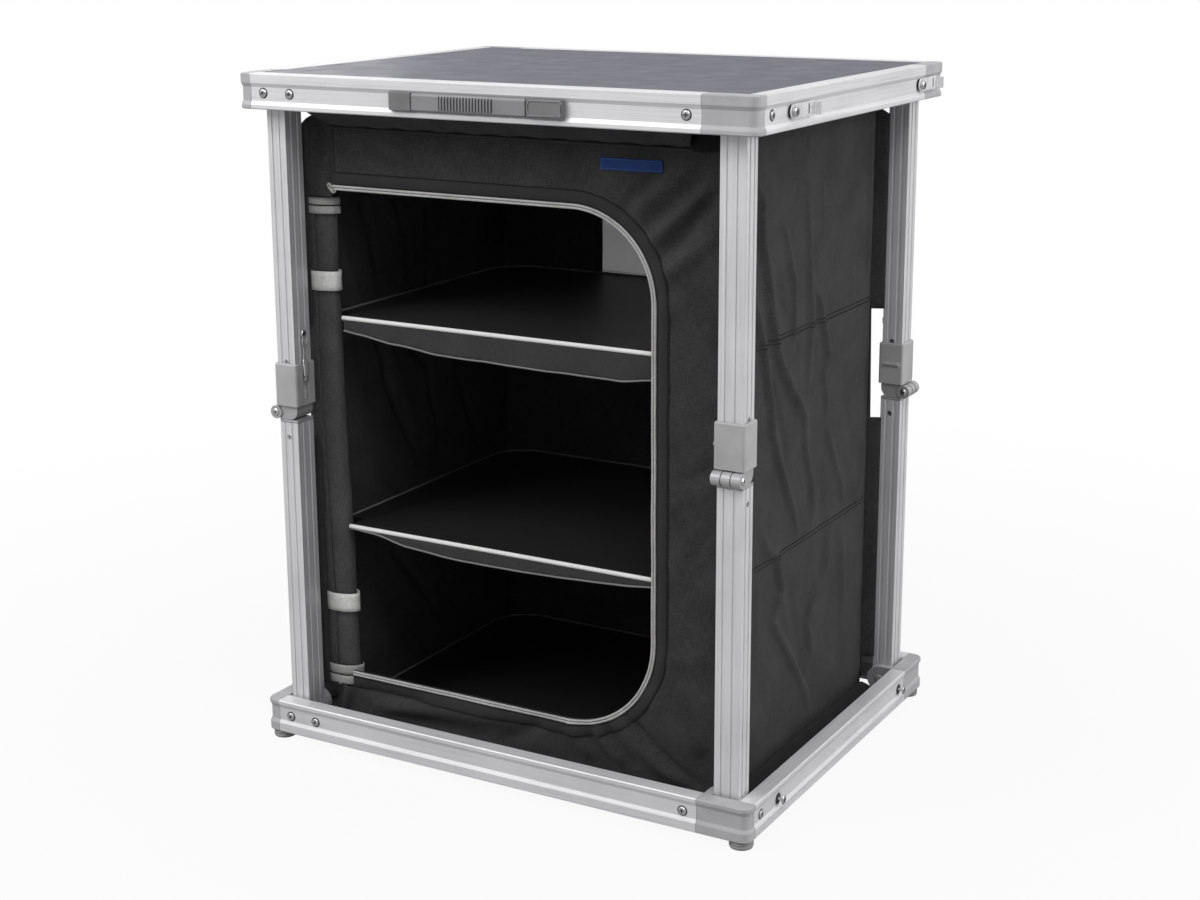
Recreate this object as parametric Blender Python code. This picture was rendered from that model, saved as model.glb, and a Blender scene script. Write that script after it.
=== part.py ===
# Folding fabric camp kitchen cupboard.
# Two rail frames are joined by four knee legs. A sewn cloth body with three shelf boards hangs between.
# Sizes are in metres. +Z is up, the front with the door opening looks along -Y.
import math

import bmesh
import bpy
from mathutils import Matrix, Vector

# Overall frame
frame_width = 0.600
frame_depth = 0.480
frame_height = 0.733          # underside of the lower rails to the table top
clearance = 0.0003            # between touching pieces
cut_overrun = 0.002
weld_distance = 0.00001

# Rails and their section
rail_height = 0.037
rail_width = 0.017
rail_wall = 0.0016
wide_band = 0.010
narrow_band = 0.0045
band_slope = 0.004
waist_depth = 0.002
edge_round = 0.001
ledge_thickness = 0.0012
ledge_reach = 0.006

# Moulded corners
corner_long = 0.058
corner_radius = 0.010
spigot_long = 0.026
spigot_short = 0.028
corner_bite = 0.0006          # depth that fused pieces reach into each other

# Leg pockets in the corners
ear_radius = 0.015
ear_end = 0.073
ear_tail_height = 0.024
pocket_floor = 0.0033
pivot_radius = 0.004
pivot_head = 0.0015
pivot_head_radius = 0.0055

# Feet
foot_height = 0.009
foot_radius = 0.0125
foot_centre = 0.014
foot_rib = 0.0007
foot_ribs = 2

# Rail fasteners
rivet_place = 0.033
bolt_place = 0.067
screw_place = 0.074
fastener_height = 0.020
head_radius = 0.0040
head_rise = 0.0017
head_top_share = 0.6

# Storage latches on the right rails
latch_neck_radius = 0.0022
latch_neck_reach = 0.0022
latch_head_radius = 0.0046
latch_head_rise = 0.0024
latch_thickness = 0.0012
latch_width = 0.014
latch_standoff = 0.0006
latch_tail = 0.010
latch_slot_width = 0.0038
latch_slot_height = 0.010
latch_tab = 0.0080
stud_radius = 0.0015
stud_reach = 0.0030

# Table panel
panel_recess = 0.0005
panel_thickness = 0.003

# Legs
leg_inset = 0.021
leg_width = 0.0274            # along the pivot axis
leg_depth = 0.0234
leg_wall = 0.0016
leg_groove = 0.0008
leg_groove_width = 0.0030
leg_groove_shares = (0.30, 0.70)
leg_plug_rise = 0.018

# Knee hinges
knee_offset = 0.004           # barrel centre in front of the leg's face
barrel_radius = 0.0073
barrel_overhang = 0.0022      # past the leg's side faces
knuckle_shares = (0.333, 0.667)
hinge_cap = 0.003
hinge_plug = 0.028
hinge_block = 0.012
hinge_heel = 0.010
hinge_web = 0.0065
knee_pin_radius = 0.0024
knee_pin_head_radius = 0.0042
knee_pin_head = 0.0010

# Sliding lock collars
collar_wall = 0.0026
collar_play = 0.0004
collar_height = 0.047
collar_lift = 0.001
collar_travel = 0.018
collar_chamfer = 0.0015
collar_bridge = 0.006
thumb_ridge_width = 0.019
thumb_ridge_height = 0.0045
thumb_ridge_reach = 0.0030
thumb_ridge_taper = 0.0010

# Collar catches
catch_width = 0.008
catch_plate = 0.0014
catch_rise = 0.036
catch_swell = 0.0030
catch_rivet_radius = 0.0034
catch_rivet_rise = 0.0015
catch_lever_rise = 0.003

# Carrying handle on the front top rail
handle_left = -0.106
handle_right = 0.098
handle_left_block = 0.028
handle_right_block = 0.041
handle_slit = 0.0015
handle_height = 0.0175
handle_drop = 0.0120          # below the table top
handle_reach = 0.0045         # in front of the rail's outer face
grip_thickness = 0.0055
grip_pin_radius = 0.0014
grip_pin_length = 0.004
grip_rib_start = 0.034
grip_rib_pitch = 0.0036
grip_rib_width = 0.0018
grip_rib_rise = 0.0006
grip_ribs = 17
block_chamfer = 0.003

# Cloth body
body_side_play = 0.0086       # from the legs' inner faces to the side walls
body_front_play = 0.0076      # and to the front panel and the rear wall
cloth = 0.0012
cloth_fold = 0.0028
cloth_folds = 6
fold_points = 6
seam_margin = 0.006           # flat cloth beside the corner seams
cloth_shy = 0.0001            # flaps are this much thinner on each face than the walls
flap_reach = 0.034            # past the body towards the next leg
flap_shy = 0.045              # flaps end this far from the frames' outer faces
knee_notch_low = 0.032        # below the knee axis
knee_notch_high = 0.094       # above the knee axis
wall_drop = 0.012             # walls end this far below the table top
base_corner_play = 0.003

# Door opening
door_margin = 0.080           # beside the opening
door_low = 0.067
door_head = 0.112             # cloth above the opening
door_upper_radius = 0.090
door_lower_radius = 0.100

# Creases in the front panel
crease_rise = 0.003
crease_spread = 0.016
crease_angles = (20, 45, 70)
crease_end_shares = (1.0, 0.9, 0.7)
crease_columns = 26
crease_rows = 36

# Rolled door at the left of the opening
roll_width = 0.044
roll_thickness = 0.023
roll_outset = 0.003           # its centre stands this far outside the body
roll_drop = 0.012             # below the opening
roll_shy = 0.005              # below the opening's top
roll_play = 0.0008
roll_shape_shares = ((0.0, 0.86), (0.012, 0.97), (0.05, 0.97), (0.06, 0.90), (0.12, 1.0), (0.155, 0.88),
                     (0.19, 1.0), (0.50, 0.94), (0.80, 1.0), (0.835, 0.88), (0.87, 1.0), (0.93, 0.92),
                     (0.945, 0.97), (0.985, 0.97), (1.0, 0.86))
roll_points = 20

# Shelf boards
board_side_gap = 0.0003
board_front_gap = 0.003
board_radius = 0.022
shelf_thickness = 0.006
lower_shelf_top = 0.2365
upper_shelf_top = 0.4715
floor_top = 0.0178

# Derived sizes
barrel_reach = leg_depth / 2 + knee_offset
pivot_height = rail_height - barrel_reach + clearance / 2
knee_height = frame_height / 2
leg_centre_x = -(leg_inset + leg_width / 2)
leg_centre_y = leg_inset + leg_depth / 2
leg_back = leg_inset + leg_depth
knee_y = leg_inset - knee_offset
ledge_low = panel_recess + panel_thickness + clearance
ledge_high = ledge_low + ledge_thickness
ear_base = ledge_high + 2 * clearance
ear_top = pivot_height + ear_radius
cap_top = knee_height - barrel_radius - clearance
cap_low = cap_top - hinge_cap
block_top = knee_height + hinge_block
barrel_length = leg_width + 2 * barrel_overhang
ear_plate = leg_inset - rail_width - 2 * clearance
collar_low = knee_height + barrel_radius + collar_lift
collar_high = collar_low + collar_height
catch_low = collar_low + collar_bridge + collar_travel + 2 * clearance
catch_high = collar_high + catch_rise
latch_slot_place = 2 * (rail_height - fastener_height) + clearance
latch_reach = latch_standoff + latch_thickness + latch_tab
latch_out = latch_standoff + latch_thickness + latch_neck_reach
base_top = ledge_high + clearance + cloth
wall_low = base_top + clearance
wall_high = frame_height - wall_drop
body_half_width = frame_width / 2 - leg_inset - leg_width - body_side_play
body_half_depth = frame_depth / 2 - leg_inset - leg_width - body_front_play
body_inner_x = body_half_width - cloth
body_inner_y = body_half_depth - cloth
flap_end_x = body_half_width + flap_reach
flap_end_y = body_half_depth + flap_reach
flap_low = flap_shy
flap_high = frame_height - flap_shy
notch_low = knee_height - knee_notch_low
notch_high = knee_height + knee_notch_high
door_right = body_half_width - door_margin
door_high = wall_high - door_head
roll_low = door_low - roll_drop
roll_high = door_high - roll_shy
roll_centre_x = -(body_half_width + roll_outset)
roll_centre_y = -(body_inner_y - roll_play - roll_thickness / 2)
grip_axis_y = -handle_reach + grip_thickness / 2
grip_axis_z = frame_height - handle_drop - grip_thickness / 2
grip_left = handle_left + handle_left_block + handle_slit
grip_right = handle_right - handle_right_block - handle_slit

# Corner names run round the cupboard. Each corner is the one before it, turned a quarter.
corner_names = ("front_right", "rear_right", "rear_left", "front_left")
corner_places = ((frame_width / 2, -frame_depth / 2), (frame_width / 2, frame_depth / 2),
                 (-frame_width / 2, frame_depth / 2), (-frame_width / 2, -frame_depth / 2))
rail_names = ("front", "right", "rear", "left")
rail_spans = (frame_width, frame_depth, frame_width, frame_depth)

for old in list(bpy.data.objects):
    bpy.data.objects.remove(old, do_unlink=True)

part_set = bpy.data.collections.new("camp_kitchen_cupboard")
bpy.context.scene.collection.children.link(part_set)

# The empty sets the bounding box's middle over the origin and stands the feet on the floor.
stand = bpy.data.objects.new("cupboard_stand", None)
stand.location = (-latch_reach / 2, (handle_reach + grip_rib_rise) / 2, foot_height)
part_set.objects.link(stand)


def make_material(name, colour, roughness, metallic):
    material = bpy.data.materials.new(name)
    material.use_nodes = True
    shader = material.node_tree.nodes["Principled BSDF"]
    shader.inputs["Base Color"].default_value = (*colour, 1.0)
    shader.inputs["Roughness"].default_value = roughness
    shader.inputs["Metallic"].default_value = metallic
    return material


finishes = {
    "aluminium": ((0.62, 0.62, 0.63), 0.35, 0.9),
    "grey_plastic": ((0.36, 0.36, 0.37), 0.5, 0.0),
    "cast_hinge": ((0.42, 0.42, 0.43), 0.45, 0.3),
    "steel": ((0.70, 0.70, 0.71), 0.22, 1.0),
    "laminate": ((0.13, 0.13, 0.17), 0.4, 0.0),
    "handle_plastic": ((0.10, 0.10, 0.11), 0.5, 0.0),
    "cloth": ((0.02, 0.02, 0.021), 0.9, 0.0),
    "shelf_board": ((0.008, 0.008, 0.008), 0.55, 0.0),
}


# Outlines in a plane

def rectangle(u0, v0, u1, v1):
    return [(u0, v0), (u1, v0), (u1, v1), (u0, v1)]


def arc(u, v, radius, start, end, steps):
    turn = math.radians(end - start) / steps
    angles = [math.radians(start) + turn * step for step in range(steps + 1)]
    return [(u + radius * math.cos(angle), v + radius * math.sin(angle)) for angle in angles]


def rounded_rectangle(u0, v0, u1, v1, radius, steps=6):
    points = arc(u1 - radius, v0 + radius, radius, -90, 0, steps)
    points += arc(u1 - radius, v1 - radius, radius, 0, 90, steps)
    points += arc(u0 + radius, v1 - radius, radius, 90, 180, steps)
    points += arc(u0 + radius, v0 + radius, radius, 180, 270, steps)
    return points


# Solids, all built in the frame's own coordinates

plane_turns = {
    "XY": Matrix.Identity(4),
    "YZ": Matrix(((0, 0, 1, 0), (1, 0, 0, 0), (0, 1, 0, 0), (0, 0, 0, 1))),
    "XZ": Matrix(((1, 0, 0, 0), (0, 0, 1, 0), (0, 1, 0, 0), (0, 0, 0, 1))),
}


def loose_object(name, mesh):
    solid = bpy.data.objects.new(name, mesh)
    bpy.context.scene.collection.objects.link(solid)
    return solid


def prism(outlines, plane, start, end):
    # A filled flat outline with its holes, extruded from start to end across its plane.
    curve = bpy.data.curves.new("outline", "CURVE")
    curve.dimensions = "2D"
    curve.fill_mode = "BOTH"
    curve.extrude = (end - start) / 2
    for outline in outlines:
        spline = curve.splines.new("POLY")
        spline.points.add(len(outline) - 1)
        for point, (u, v) in zip(spline.points, outline):
            point.co = (u, v, 0, 1)
        spline.use_cyclic_u = True
    sheet = loose_object("outline", curve)
    mesh = bpy.data.meshes.new_from_object(sheet.evaluated_get(bpy.context.evaluated_depsgraph_get()))
    bpy.data.objects.remove(sheet)
    mesh.transform(plane_turns[plane] @ Matrix.Translation((0, 0, (start + end) / 2)))
    weld = bmesh.new()
    weld.from_mesh(mesh)
    bmesh.ops.remove_doubles(weld, verts=weld.verts, dist=weld_distance)
    bmesh.ops.recalc_face_normals(weld, faces=weld.faces)
    weld.to_mesh(mesh)
    weld.free()
    return loose_object("prism", mesh)


def box(low, high):
    mesh = bpy.data.meshes.new("box")
    cube = bmesh.new()
    bmesh.ops.create_cube(cube, size=1)
    cube.to_mesh(mesh)
    cube.free()
    size = [top - bottom for bottom, top in zip(low, high)]
    centre = [(top + bottom) / 2 for bottom, top in zip(low, high)]
    mesh.transform(Matrix.Translation(centre) @ Matrix.Diagonal((*size, 1)))
    return loose_object("box", mesh)


def rod(start, end, radius, end_radius=None, sides=16):
    # A round bar between two points. A second radius makes it a cone.
    start = Vector(start)
    reach = Vector(end) - start
    mesh = bpy.data.meshes.new("rod")
    drum = bmesh.new()
    far_radius = radius if end_radius is None else end_radius
    bmesh.ops.create_cone(drum, cap_ends=True, segments=sides, radius1=radius, radius2=far_radius,
                          depth=reach.length)
    drum.to_mesh(mesh)
    drum.free()
    turn = reach.to_track_quat("Z", "Y").to_matrix().to_4x4()
    mesh.transform(Matrix.Translation(start + reach / 2) @ turn)
    return loose_object("rod", mesh)


def loft(levels):
    # A solid through outlines of equal count, each at its own height.
    solid = bmesh.new()
    rings = [[solid.verts.new((x, y, z)) for x, y in outline] for z, outline in levels]
    solid.faces.new(list(reversed(rings[0])))
    solid.faces.new(rings[-1])
    count = len(rings[0])
    for low, high in zip(rings, rings[1:]):
        for here in range(count):
            there = (here + 1) % count
            solid.faces.new((low[here], low[there], high[there], high[here]))
    mesh = bpy.data.meshes.new("loft")
    solid.to_mesh(mesh)
    solid.free()
    return loose_object("loft", mesh)


def carve(base, added=(), removed=(), kept=()):
    # Joins the added solids to the base, cuts the removed ones out and keeps what lies in the kept ones.
    for operation, tools in (("UNION", added), ("DIFFERENCE", removed), ("INTERSECT", kept)):
        for tool in tools:
            change = base.modifiers.new(operation.lower(), "BOOLEAN")
            change.operation = operation
            change.solver = "EXACT"
            change.object = tool
    bpy.context.view_layer.update()
    mesh = bpy.data.meshes.new_from_object(base.evaluated_get(bpy.context.evaluated_depsgraph_get()))
    weld = bmesh.new()
    weld.from_mesh(mesh)
    bmesh.ops.remove_doubles(weld, verts=weld.verts, dist=weld_distance)
    bmesh.ops.dissolve_degenerate(weld, edges=weld.edges, dist=weld_distance)
    weld.to_mesh(mesh)
    weld.free()
    for used in (base, *added, *removed, *kept):
        bpy.data.objects.remove(used)
    return loose_object("carved", mesh)


def take_mesh(solid, smooth=False):
    mesh = solid.data
    bpy.data.objects.remove(solid)
    if smooth:
        mesh.shade_smooth()
        mesh.set_sharp_from_angle(angle=math.radians(35))
    return mesh


def flipped(mesh):
    # The same piece upside down, as the upper frame and upper legs use it.
    upper = mesh.copy()
    upper.transform(Matrix.Translation((0, 0, frame_height)) @ Matrix.Scale(-1, 4, (0, 0, 1)))
    upper.flip_normals()
    return upper


def add_piece(name, mesh, finish, origin=(0, 0, 0), corner=None):
    # The mesh's own zero moves to the origin point, which is on the joint's axis for a moving piece.
    if not mesh.users:
        mesh.transform(Matrix.Translation(-Vector(origin)))
        mesh.materials.clear()
        mesh.materials.append(bpy.data.materials.get(finish) or make_material(finish, *finishes[finish]))
    piece = bpy.data.objects.new(name, mesh)
    part_set.objects.link(piece)
    piece.parent = stand
    place = Matrix.Translation(origin)
    if corner is not None:
        x, y = corner_places[corner]
        place = Matrix.Translation((x, y, 0)) @ Matrix.Rotation(math.radians(90 * corner), 4, "Z") @ place
    piece.matrix_local = place
    return piece


def add_at_corners(name, mesh, finish, origin=(0, 0, 0)):
    for corner, place in enumerate(corner_names):
        add_piece(f"{name}_{place}", mesh, finish, origin, corner)


# Rails. In a corner's coordinates the outer faces are x = 0 and y = 0, and the rail runs along -x.

def face_levels():
    # Height and inset of the outer face, from the wide band up to the narrow one.
    top = rail_height
    return [(0, edge_round), (edge_round, 0), (wide_band, 0), (wide_band + band_slope, waist_depth),
            (top - narrow_band - band_slope, waist_depth), (top - narrow_band, 0), (top - edge_round, 0),
            (top, edge_round)]


def rail_outline():
    outer = [(inset, height) for height, inset in face_levels()]
    inner = [(rail_width, rail_height), (rail_width, ledge_high), (rail_width + ledge_reach, ledge_high),
             (rail_width + ledge_reach, ledge_low), (rail_width, ledge_low), (rail_width, 0)]
    return outer + inner


def void_bounds(play=0):
    low = waist_depth + rail_wall + play
    return low, rail_wall + play, rail_width - rail_wall - play, rail_height - rail_wall - play


def fastener(x):
    face = waist_depth + rail_wall / 2
    top = waist_depth - head_rise
    return rod((x, face, fastener_height), (x, top, fastener_height), head_radius,
               head_radius * head_top_share)


def latch_bolt(x):
    inside = waist_depth + rail_wall / 2
    neck = rod((x, inside, fastener_height), (x, -latch_out, fastener_height), latch_neck_radius)
    head_start = -(latch_standoff + latch_thickness + clearance)
    head = rod((x, head_start, fastener_height), (x, head_start - latch_head_rise, fastener_height),
               latch_head_radius, latch_head_radius * head_top_share)
    return carve(neck, (head,))


def stud(x):
    return rod((x, waist_depth + rail_wall / 2, fastener_height), (x, -stud_reach, fastener_height),
               stud_radius)


def rail_mesh(span, fasteners):
    start = -(span - rail_width - clearance)
    end = -(corner_long + clearance)
    bar = prism([rail_outline(), rectangle(*void_bounds())], "YZ", start, end)
    return take_mesh(carve(bar, fasteners))


def plain_fasteners(span):
    return [fastener(-screw_place), fastener(-(span - rivet_place)), fastener(-(span - bolt_place))]


for index, (side, span) in enumerate(zip(rail_names, rail_spans)):
    if side == "right":
        lower = rail_mesh(span, [stud(-screw_place), fastener(-(span - rivet_place)),
                                 stud(-(span - screw_place))])
        upper = flipped(rail_mesh(span, [latch_bolt(-screw_place), fastener(-(span - rivet_place)),
                                         latch_bolt(-(span - screw_place))]))
    else:
        lower = rail_mesh(span, plain_fasteners(span))
        upper = flipped(lower)
    add_piece(f"bottom_rail_{side}", lower, "aluminium", corner=index)
    add_piece(f"top_rail_{side}", upper, "aluminium", corner=index)


# Moulded corners with the leg pockets and their pivot pins

def corner_outline(inset):
    return [(-corner_long, inset), *arc(-corner_radius, corner_radius, corner_radius - inset, -90, 0, 5),
            (-inset, rail_width), (-corner_long, rail_width)]


def corner_mesh():
    shell = loft([(height, corner_outline(inset)) for height, inset in face_levels()])
    low, bottom, high, top = void_bounds(clearance)
    bite = corner_bite
    long_spigot = box((-(corner_long + spigot_long), low, bottom), (-(corner_long - bite), high, top))
    short_spigot = box((-high, rail_width - bite, bottom), (-low, rail_width + spigot_short, top))
    wall_end = -(leg_inset + leg_width + clearance)
    disc = arc(leg_centre_y, pivot_height, ear_radius, 90, -30, 6)
    ear_outline = [(rail_width - bite, ear_base), (rail_width - bite, ear_top), *disc,
                   (leg_centre_y + ear_radius / 2, ear_base)]
    thick_ear = prism([ear_outline], "YZ", -corner_long + clearance, wall_end)
    plate_face = -(rail_width + clearance)
    tail = [(rail_width - bite, ear_base), (rail_width - bite, ear_top),
            *arc(leg_centre_y, pivot_height, ear_radius, 90, 20, 4),
            (leg_centre_y + ear_radius + edge_round, ear_tail_height), (ear_end, ear_tail_height),
            (ear_end, ear_base)]
    thin_ear = prism([tail], "YZ", plate_face - ear_plate, plate_face)
    floor = box((wall_end - bite, rail_width - bite, ear_base),
                (plate_face - ear_plate + bite, leg_back, ear_base + pocket_floor))
    pin = rod((wall_end - bite, leg_centre_y, pivot_height),
              (plate_face - ear_plate + bite, leg_centre_y, pivot_height), pivot_radius)
    pin_head = rod((-corner_long + bite, leg_centre_y, pivot_height),
                   (-corner_long - pivot_head, leg_centre_y, pivot_height), pivot_head_radius,
                   pivot_head_radius * head_top_share)
    return take_mesh(carve(shell, (long_spigot, short_spigot, thick_ear, thin_ear, floor, pin, pin_head)),
                     smooth=True)


lower_corner = corner_mesh()
upper_corner = flipped(lower_corner)
add_at_corners("bottom_corner", lower_corner, "grey_plastic")
add_at_corners("top_corner", upper_corner, "grey_plastic")


# Round feet with ribs, turned from a profile

def foot_mesh():
    top = -clearance
    step = (foot_height + top) / (2 * foot_ribs + 1)
    profile = [(0, top), (foot_radius - foot_rib, top)]
    for rib in range(foot_ribs):
        upper = top - (2 * rib + 1) * step
        profile += [(foot_radius - foot_rib, upper), (foot_radius, upper), (foot_radius, upper - step),
                    (foot_radius - foot_rib, upper - step)]
    profile += [(foot_radius - foot_rib, -foot_height), (0, -foot_height)]
    mesh = bpy.data.meshes.new("foot")
    turned = bmesh.new()
    ring = [turned.verts.new((radius, 0, height)) for radius, height in profile]
    for upper_point, lower_point in zip(ring, ring[1:]):
        turned.edges.new((upper_point, lower_point))
    bmesh.ops.spin(turned, geom=turned.verts[:] + turned.edges[:], cent=(0, 0, 0), axis=(0, 0, 1),
                   angle=math.radians(360), steps=18, use_merge=True)
    bmesh.ops.remove_doubles(turned, verts=turned.verts, dist=weld_distance)
    bmesh.ops.recalc_face_normals(turned, faces=turned.faces)
    turned.to_mesh(mesh)
    turned.free()
    mesh.transform(Matrix.Translation((-foot_centre, foot_centre, 0)))
    mesh.shade_smooth()
    mesh.set_sharp_from_angle(angle=math.radians(35))
    return mesh


add_at_corners("foot", foot_mesh(), "grey_plastic")

# Table panel, let into the top frame
panel_x = frame_width / 2 - rail_width - clearance
panel_y = frame_depth / 2 - rail_width - clearance
panel_top = frame_height - panel_recess
add_piece("table_panel", take_mesh(box((-panel_x, -panel_y, panel_top - panel_thickness),
                                       (panel_x, panel_y, panel_top))), "laminate")


# Legs: grooved tubes with a rounded, bored end at the pivot

def leg_rect(inset):
    return rectangle(leg_centre_x - leg_width / 2 + inset, leg_centre_y - leg_depth / 2 + inset,
                     leg_centre_x + leg_width / 2 - inset, leg_centre_y + leg_depth / 2 - inset)


def leg_outline():
    corners = leg_rect(0)
    points = []
    for here in range(4):
        start = Vector(corners[here])
        run = Vector(corners[(here + 1) % 4]) - start
        inward = Vector((-run.y, run.x)).normalized() * leg_groove
        half = run.normalized() * leg_groove_width / 2
        points.append(start)
        for share in leg_groove_shares:
            middle = start + run * share
            points += [middle - half, middle - half + inward, middle + half + inward, middle + half]
    return [tuple(point) for point in points]


def leg_mesh(knee_end):
    tube = prism([leg_outline(), leg_rect(leg_wall)], "XY", pivot_height, knee_end)
    inset = (leg_wall + leg_groove) / 2
    end_radius = leg_depth / 2 - inset
    plug_top = pivot_height + leg_plug_rise
    end_outline = arc(leg_centre_y, pivot_height, end_radius, -180, 0, 12)
    end_outline += [(leg_centre_y + end_radius, plug_top), (leg_centre_y - end_radius, plug_top)]
    plug = prism([end_outline], "YZ", leg_centre_x - leg_width / 2 + inset,
                 leg_centre_x + leg_width / 2 - inset)
    bore = rod((leg_centre_x - leg_width, leg_centre_y, pivot_height),
               (leg_centre_x + leg_width, leg_centre_y, pivot_height), pivot_radius + clearance)
    return take_mesh(carve(tube, (plug,), (bore,)))


lower_leg = leg_mesh(cap_low - clearance)
upper_leg = flipped(leg_mesh(frame_height - block_top - clearance))
lower_pivot = (leg_centre_x, leg_centre_y, pivot_height)
knee_axis = (leg_centre_x, knee_y, knee_height)
add_at_corners("lower_leg", lower_leg, "aluminium", lower_pivot)
add_at_corners("upper_leg", upper_leg, "aluminium", knee_axis)


# Knee hinges: a capped lower half with the middle knuckle, an upper block with the two outer ones

def hinge_plug_box(low, high):
    (x0, y0), _, (x1, y1), _ = leg_rect(leg_wall + clearance)
    return box((x0, y0, low), (x1, y1, high))


def barrel(start_share, end_share, shrink):
    first = leg_centre_x - barrel_length / 2 + barrel_length * start_share
    last = leg_centre_x - barrel_length / 2 + barrel_length * end_share
    return rod((first + shrink, knee_y, knee_height), (last - shrink, knee_y, knee_height), barrel_radius)


def knee_bore():
    return rod((leg_centre_x - barrel_length, knee_y, knee_height),
               (leg_centre_x + barrel_length, knee_y, knee_height), knee_pin_radius + clearance)


web_start = leg_centre_x - barrel_length / 2 + barrel_length * knuckle_shares[0]
web_end = leg_centre_x - barrel_length / 2 + barrel_length * knuckle_shares[1]


def lower_hinge_mesh():
    (x0, y0), _, (x1, y1), _ = leg_rect(0)
    cap = box((x0, y0, cap_low), (x1, y1, cap_top))
    plug = hinge_plug_box(cap_low - hinge_plug, cap_low + hinge_cap / 2)
    knuckle = barrel(*knuckle_shares, clearance / 2)
    web = box((web_start + clearance, knee_y + pin_cover, cap_low + hinge_cap / 2),
              (web_end - clearance, leg_inset + hinge_web, knee_height))
    return take_mesh(carve(cap, (plug, knuckle, web), (knee_bore(),)), smooth=True)


def upper_hinge_mesh():
    low = cap_top + clearance
    heel = arc(leg_back - hinge_heel, low + hinge_heel, hinge_heel, -90, 0, 6)
    outline = [(leg_inset, low), *heel, (leg_back, block_top), (leg_inset, block_top)]
    block = prism([outline], "YZ", leg_centre_x - leg_width / 2, leg_centre_x + leg_width / 2)
    plug = hinge_plug_box(block_top - hinge_cap, block_top + hinge_plug)
    knuckles = (barrel(0, knuckle_shares[0], 0), barrel(knuckle_shares[1], 1, 0))
    slot = box((web_start - clearance / 2, leg_inset - cut_overrun, low - cut_overrun),
               (web_end + clearance / 2, leg_inset + hinge_web + clearance,
                knee_height + barrel_radius + clearance))
    return take_mesh(carve(block, (plug, *knuckles), (slot, knee_bore())), smooth=True)


def knee_pin_mesh():
    left = leg_centre_x - barrel_length / 2 - clearance
    right = leg_centre_x + barrel_length / 2 + clearance
    shaft = rod((left - knee_pin_head / 2, knee_y, knee_height),
                (right + knee_pin_head / 2, knee_y, knee_height), knee_pin_radius)
    first = rod((left, knee_y, knee_height), (left - knee_pin_head, knee_y, knee_height),
                knee_pin_head_radius, knee_pin_head_radius * head_top_share)
    last = rod((right, knee_y, knee_height), (right + knee_pin_head, knee_y, knee_height),
               knee_pin_head_radius, knee_pin_head_radius * head_top_share)
    return take_mesh(carve(shaft, (first, last)), smooth=True)


pin_cover = knee_pin_radius + clearance
add_at_corners("lower_hinge", lower_hinge_mesh(), "cast_hinge", knee_axis)
add_at_corners("upper_hinge", upper_hinge_mesh(), "cast_hinge", knee_axis)
add_at_corners("knee_pin", knee_pin_mesh(), "steel", knee_axis)


# Lock collars that slide on the upper legs, each with a thumb ridge and a notch for its catch

def collar_mesh():
    grown = collar_play + collar_wall
    (x0, y0), _, (x1, y1), _ = leg_rect(-grown)
    top = collar_high - collar_chamfer
    shape = [(collar_low, 0), (top, 0), (collar_high, collar_chamfer)]
    sleeve = loft([(height, rounded_rectangle(x0 + inset, y0 + inset, x1 - inset, y1 - inset,
                                              collar_wall - inset, 3)) for height, inset in shape])
    ridge_height = (collar_low + collar_high) / 2
    half = thumb_ridge_height / 2
    tip = half - thumb_ridge_taper
    ridge = prism([[(x0 + corner_bite, ridge_height - half), (x0 + corner_bite, ridge_height + half),
                    (x0 - thumb_ridge_reach + grown - collar_wall, ridge_height + tip),
                    (x0 - thumb_ridge_reach + grown - collar_wall, ridge_height - tip)]], "XZ",
                  leg_centre_y - thumb_ridge_width / 2, leg_centre_y + thumb_ridge_width / 2)
    (hole_x0, hole_y0), _, (hole_x1, hole_y1), _ = leg_rect(-collar_play)
    hole = box((hole_x0, hole_y0, collar_low - cut_overrun), (hole_x1, hole_y1, collar_high + cut_overrun))
    notch_half = catch_width / 2 + 2 * clearance
    notch = box((leg_centre_x - notch_half, leg_centre_y, collar_low + collar_bridge),
                (leg_centre_x + notch_half, y1 + cut_overrun, collar_high + cut_overrun))
    return take_mesh(carve(sleeve, (ridge,), (hole, notch)))


def catch_mesh():
    # A leaf riveted to the leg, whose thicker lower end lies in the collar's notch.
    back = leg_back + clearance
    plate_face = back + catch_plate
    lever_face = back + catch_swell
    lever_top = collar_high + catch_lever_rise
    outline = [(back, catch_low), (plate_face, catch_low), (lever_face, catch_low + catch_swell),
               (lever_face, lever_top), (plate_face, lever_top + catch_swell), (plate_face, catch_high),
               (back, catch_high)]
    leaf = prism([outline], "YZ", leg_centre_x - catch_width / 2, leg_centre_x + catch_width / 2)
    rivet_height = catch_high - catch_width / 2
    rivet = rod((leg_centre_x, plate_face - catch_plate / 2, rivet_height),
                (leg_centre_x, plate_face + catch_rivet_rise, rivet_height), catch_rivet_radius,
                catch_rivet_radius * head_top_share)
    return take_mesh(carve(leaf, (rivet,)))


catch_axis = (leg_centre_x, leg_back + clearance, catch_high - catch_width / 2)
add_at_corners("lock_collar", collar_mesh(), "grey_plastic", (leg_centre_x, leg_centre_y, collar_low))
add_at_corners("collar_catch", catch_mesh(), "steel", catch_axis)


# Storage latches: slotted plates that swing down over the studs of the lower rail

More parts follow.
